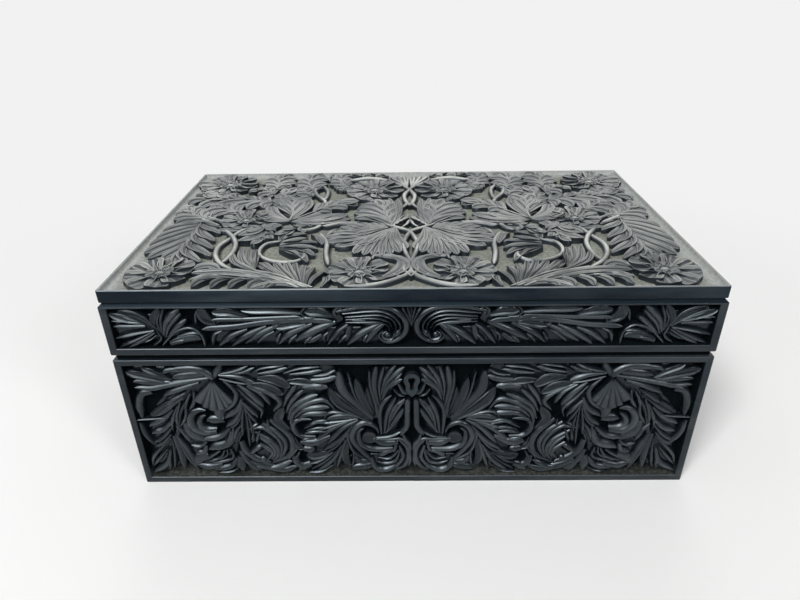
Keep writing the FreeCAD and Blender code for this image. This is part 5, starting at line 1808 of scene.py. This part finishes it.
@dataclass
class Studio:
    """Camera at the photographed angle, soft light and a pale floor."""

    focal_px: float = 612.2
    pitch: float = 28.742
    yaw: float = -0.775
    roll: float = -0.813
    stand: tuple[float, float, float] = (-2.183, -379.52, 280.288)
    ambient: float = 0.18
    low_room: float = 0.3
    front_room: float = 0.12
    window: tuple[float, float, float] = (-0.4, -0.5, 0.85)
    pane: float = 12.0
    backdrop: float = 0.885

    def camera(self) -> None:
        """Makes the camera the scene's own."""
        cam = bpy.data.cameras.new("camera")
        cam.sensor_width = 36.0
        cam.lens = self.focal_px * 36.0 / 800.0
        cam.clip_start = 0.01
        obj = bpy.data.objects.new("camera", cam)
        bpy.context.scene.collection.objects.link(obj)
        bpy.context.scene.camera = obj
        p, y, r = (math.radians(v) for v in (self.pitch, self.yaw, self.roll))
        ahead = Vector((math.sin(y) * math.cos(p), math.cos(y) * math.cos(p), -math.sin(p)))
        right = Vector((math.cos(y), -math.sin(y), 0))
        up = right.cross(ahead)
        right, up = right * math.cos(r) + up * math.sin(r), up * math.cos(r) - right * math.sin(r)
        pose = Matrix((right, up, -ahead)).transposed().to_4x4()
        pose.translation = Vector(self.stand) * MM
        obj.matrix_world = pose

    def lights(self) -> None:
        """Large soft lamps and the world."""
        for name, spot, wide, tall, power in (
            ("key", (-0.55, -1.0, 1.35), 0.45, 0.45, 21.0),
            ("side", (0.9, -1.1, 0.9), 0.35, 0.35, 8.0),
            ("back", (0.0, 1.5, 1.05), 2.2, 0.5, 12.0),
        ):
            lamp = bpy.data.lights.new(name, "AREA")
            lamp.shape = "RECTANGLE"
            lamp.size, lamp.size_y = wide, tall
            lamp.energy = power
            obj = bpy.data.objects.new(name, lamp)
            obj.location = spot
            obj.rotation_euler = (Vector((0, 0, 0.09)) - Vector(spot)).to_track_quat("-Z", "Y").to_euler()
            bpy.context.scene.collection.objects.link(obj)
        world = bpy.data.worlds.new("studio")
        bpy.context.scene.world = world
        world.use_nodes = True
        world.node_tree.nodes.clear()
        s = Sketch(world.node_tree)
        path = s.add("ShaderNodeLightPath").outputs
        way = s.add("ShaderNodeTexCoord").outputs["Generated"]
        _, back, up = s.add("ShaderNodeSeparateXYZ", {0: way}).outputs
        room = s.add("ShaderNodeMapRange", {0: up, 1: 0.0, 2: 0.85, 3: self.low_room, 4: 1.0}).outputs[0]
        behind = s.add("ShaderNodeMapRange", {0: back, 1: -0.35, 2: 0.3, 3: self.front_room, 4: 1.0}).outputs[0]
        facing = s.add("ShaderNodeVectorMath", {0: way, 1: Vector(self.window).normalized()}, operation="DOT_PRODUCT")
        pane = s.add("ShaderNodeMapRange", {0: facing.outputs["Value"], 1: 0.72, 2: 0.95, 3: 0.0, 4: self.pane})
        room = s.math("MULTIPLY_ADD", room, behind, pane.outputs[0])
        shown = s.math("MAXIMUM", path["Is Glossy Ray"], path["Is Transmission Ray"])
        strength = s.math("MULTIPLY_ADD", shown, s.math("SUBTRACT", room, self.ambient), self.ambient)
        seen = path["Is Camera Ray"]
        strength = s.math("MULTIPLY_ADD", seen, s.math("SUBTRACT", self.backdrop, strength), strength)
        sky = s.add("ShaderNodeBackground", {"Color": (1, 1, 1, 1), "Strength": strength})
        s.add("ShaderNodeOutputWorld", {"Surface": sky.outputs[0]})

    def floor(self) -> None:
        """A pale floor that keeps the box's shadow."""
        size = 3.0
        mesh = bpy.data.meshes.new("floor")
        corners = [(-size, -size, 0), (size, -size, 0), (size, size, 0), (-size, size, 0)]
        mesh.from_pydata(corners, [], [(0, 1, 2, 3)])
        floor = new_object("floor", mesh)
        mat = bpy.data.materials.new("pale_floor")
        mat.use_nodes = True
        mat.node_tree.nodes.clear()
        s = Sketch(mat.node_tree)
        where = s.add("ShaderNodeTexCoord").outputs["Object"]
        far = s.add("ShaderNodeVectorMath", {0: where}, operation="LENGTH").outputs["Value"]
        fade = s.add("ShaderNodeMapRange", {0: far, 1: 0.22, 2: 0.6}, interpolation_type="SMOOTHSTEP").outputs[0]
        seen = s.add("ShaderNodeLightPath").outputs["Is Camera Ray"]
        near = s.add("ShaderNodeBsdfPrincipled", {"Base Color": (0.86, 0.86, 0.855, 1), "Roughness": 0.7}).outputs[0]
        away = s.add("ShaderNodeEmission", {"Color": (1, 1, 1, 1), "Strength": self.backdrop}).outputs[0]
        both = s.add("ShaderNodeMixShader", {0: s.math("MULTIPLY", fade, seen), 1: near, 2: away}).outputs[0]
        s.add("ShaderNodeOutputMaterial", {"Surface": both})
        mesh.materials.append(mat)


def dress_nodes() -> None:
    """Gives every CAD node that stays in view the finish of its kind; the lock's insides and the lock plate's front
    take a near-black finish as painted shade inside the keyhole.
    """
    lining = Plain("lining_wood", (0.20, 0.085, 0.035), 0.42, streak=(14.0, 160.0, 160.0)).build()
    brass = Plain("lock_brass", (0.46, 0.34, 0.15), 0.42, metal=1.0, streak=(200.0, 200.0, 900.0), spread=0.2).build()
    steel = Plain("steel", (0.30, 0.29, 0.28), 0.4, metal=1.0, spread=0.2).build()
    ebony = Ebony(name="ebony_turned").build()
    # Near-black finish for the lock's insides and the lock plate's front face: painted shade inside the keyhole.
    dark = Plain("lock_inside", (0.022, 0.018, 0.012), 0.7, metal=0.6).build()
    finishes = {"ebony": ebony, "lining_wood": lining, "lock_brass": brass, "steel": steel, "dark": dark}
    for part in frame_parts():
        obj = bpy.data.objects.get(part["node"])
        if obj is None:
            continue
        obj.data.materials.clear()
        obj.data.materials.append(finishes["dark" if part["node"] in KEYHOLE_SHADE_NODES else part["material_slot"]])
        # The lock plate's front-facing faces, seen through the keyhole, take the near-black finish as painted shade.
        if part["node"] == "lock_plate":
            obj.data.materials.append(dark)
            for polygon in obj.data.polygons:
                polygon.material_index = int(polygon.normal.y < -0.9)


def frame_parts() -> list[dict]:
    """The record's rows of nodes and their material slots."""
    return FRAME["record"]["subparts"]


def main() -> None:
    """Builds the whole scene."""
    logging.basicConfig(level=logging.INFO, format="%(name)s: %(message)s")
    bpy.context.scene.view_settings.view_transform = "Standard"
    studio = Studio()
    studio.camera()
    studio.lights()
    FRAME.update(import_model())
    studio.floor()
    tree = CutTree("carved cuts")
    face_wood = Ebony(
        name="ebony_polished", colour=(0.0042, 0.0064, 0.0086), gloss=(0.26, 0.46), shine=0.24, worn_and_highlight_colour=(0.035, 0.042, 0.046),
        smudge=0.7, cool_reflection_tint=(0.86, 0.95, 1.0),
    ).build()
    # The carved lobes' base colour is darker than the flat faces' as painted shade, and their crests are paled partly
    # by wear and partly as painted highlight.
    wall_carving = Ebony(
        name="ebony_wall_carving", colour=(0.0028, 0.0042, 0.0056), gloss=(0.2, 0.32), shine=0.29, wear_and_highlight=0.75, worn_and_highlight_colour=(0.048, 0.057, 0.064),
        cool_reflection_tint=(0.82, 0.94, 1.0),
    ).build()
    # Near black and almost without shine, darker than the carving: dull tooled ground, partly painted shade in the deep
    # gaps and on the neck strip; pale dust lies towards the bottom.
    ground = Ground(
        "ebony_wall_ground", (0.001, 0.002, 0.0026), (0.14, 0.15, 0.135), (0.0, 0.5), (0.002, 0.012), speck=0.7, shine=0.03,
    ).build()
    top_wood = Ebony(
        name="ebony_top", colour=(0.0022, 0.004, 0.0066), film_dust_and_highlight=0.75, gloss=(0.26, 0.46), shine=0.1, worn_and_highlight_colour=(0.024, 0.034, 0.042),
        smudge=0.9,
    ).build()
    # The top ground is dusty; its sloping margin is paler, partly dust and partly painted sheen.
    top_ground = Ground(
        "ebony_top_ground", (0.05, 0.055, 0.05), (0.27, 0.285, 0.245), (0.92, 0.92), speck=0.45, margin_dust_and_sheen=(0.40, 0.415, 0.405),
    ).build()
    # Pale rim top: partly dust, partly painted highlight along its arris.
    rim = Ebony(name="ebony_rim", film_dust_and_highlight=0.9, dust=(0.30, 0.32, 0.33), gloss=(0.3, 0.42), shine=0.3).build()
    # Near black and dull: painted shadow on the bevel under the top board.
    bevel = Ebony(name="ebony_bevel", colour=(0.0035, 0.006, 0.0085), gloss=(0.4, 0.5), shine=0.05).build()
    Carcass().build(BoardWoods(face_wood, ground, bevel, top_wood, top_ground, rim))
    # Pale crests and hollow edges on the top carving: partly wear and dust, partly painted highlight.
    ebony_top = Ebony(
        name="ebony_top_carving", film_dust_and_highlight=0.08, deep=0.1, worn_and_highlight_colour=(0.58, 0.595, 0.56), wear_and_highlight=0.95, gloss=(0.34, 0.46), shine=0.33,
        cool_reflection_tint=(0.9, 0.97, 1.0), veins=1.0,
    ).build()
    relief = LidTopCarving().draw()
    for keep, tail in ((-1, "left"), (1, "right")):
        carving = relief.cut(f"lid_top_carving_{tail}", tree, ebony_top, Matrix.Translation((0, 0, RIM_Z * MM)), 0.95, keep)
        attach(carving, "lid")
    WallCarving().build(tree, wall_carving)
    dress_nodes()


if __name__ == "__main__":
    main()
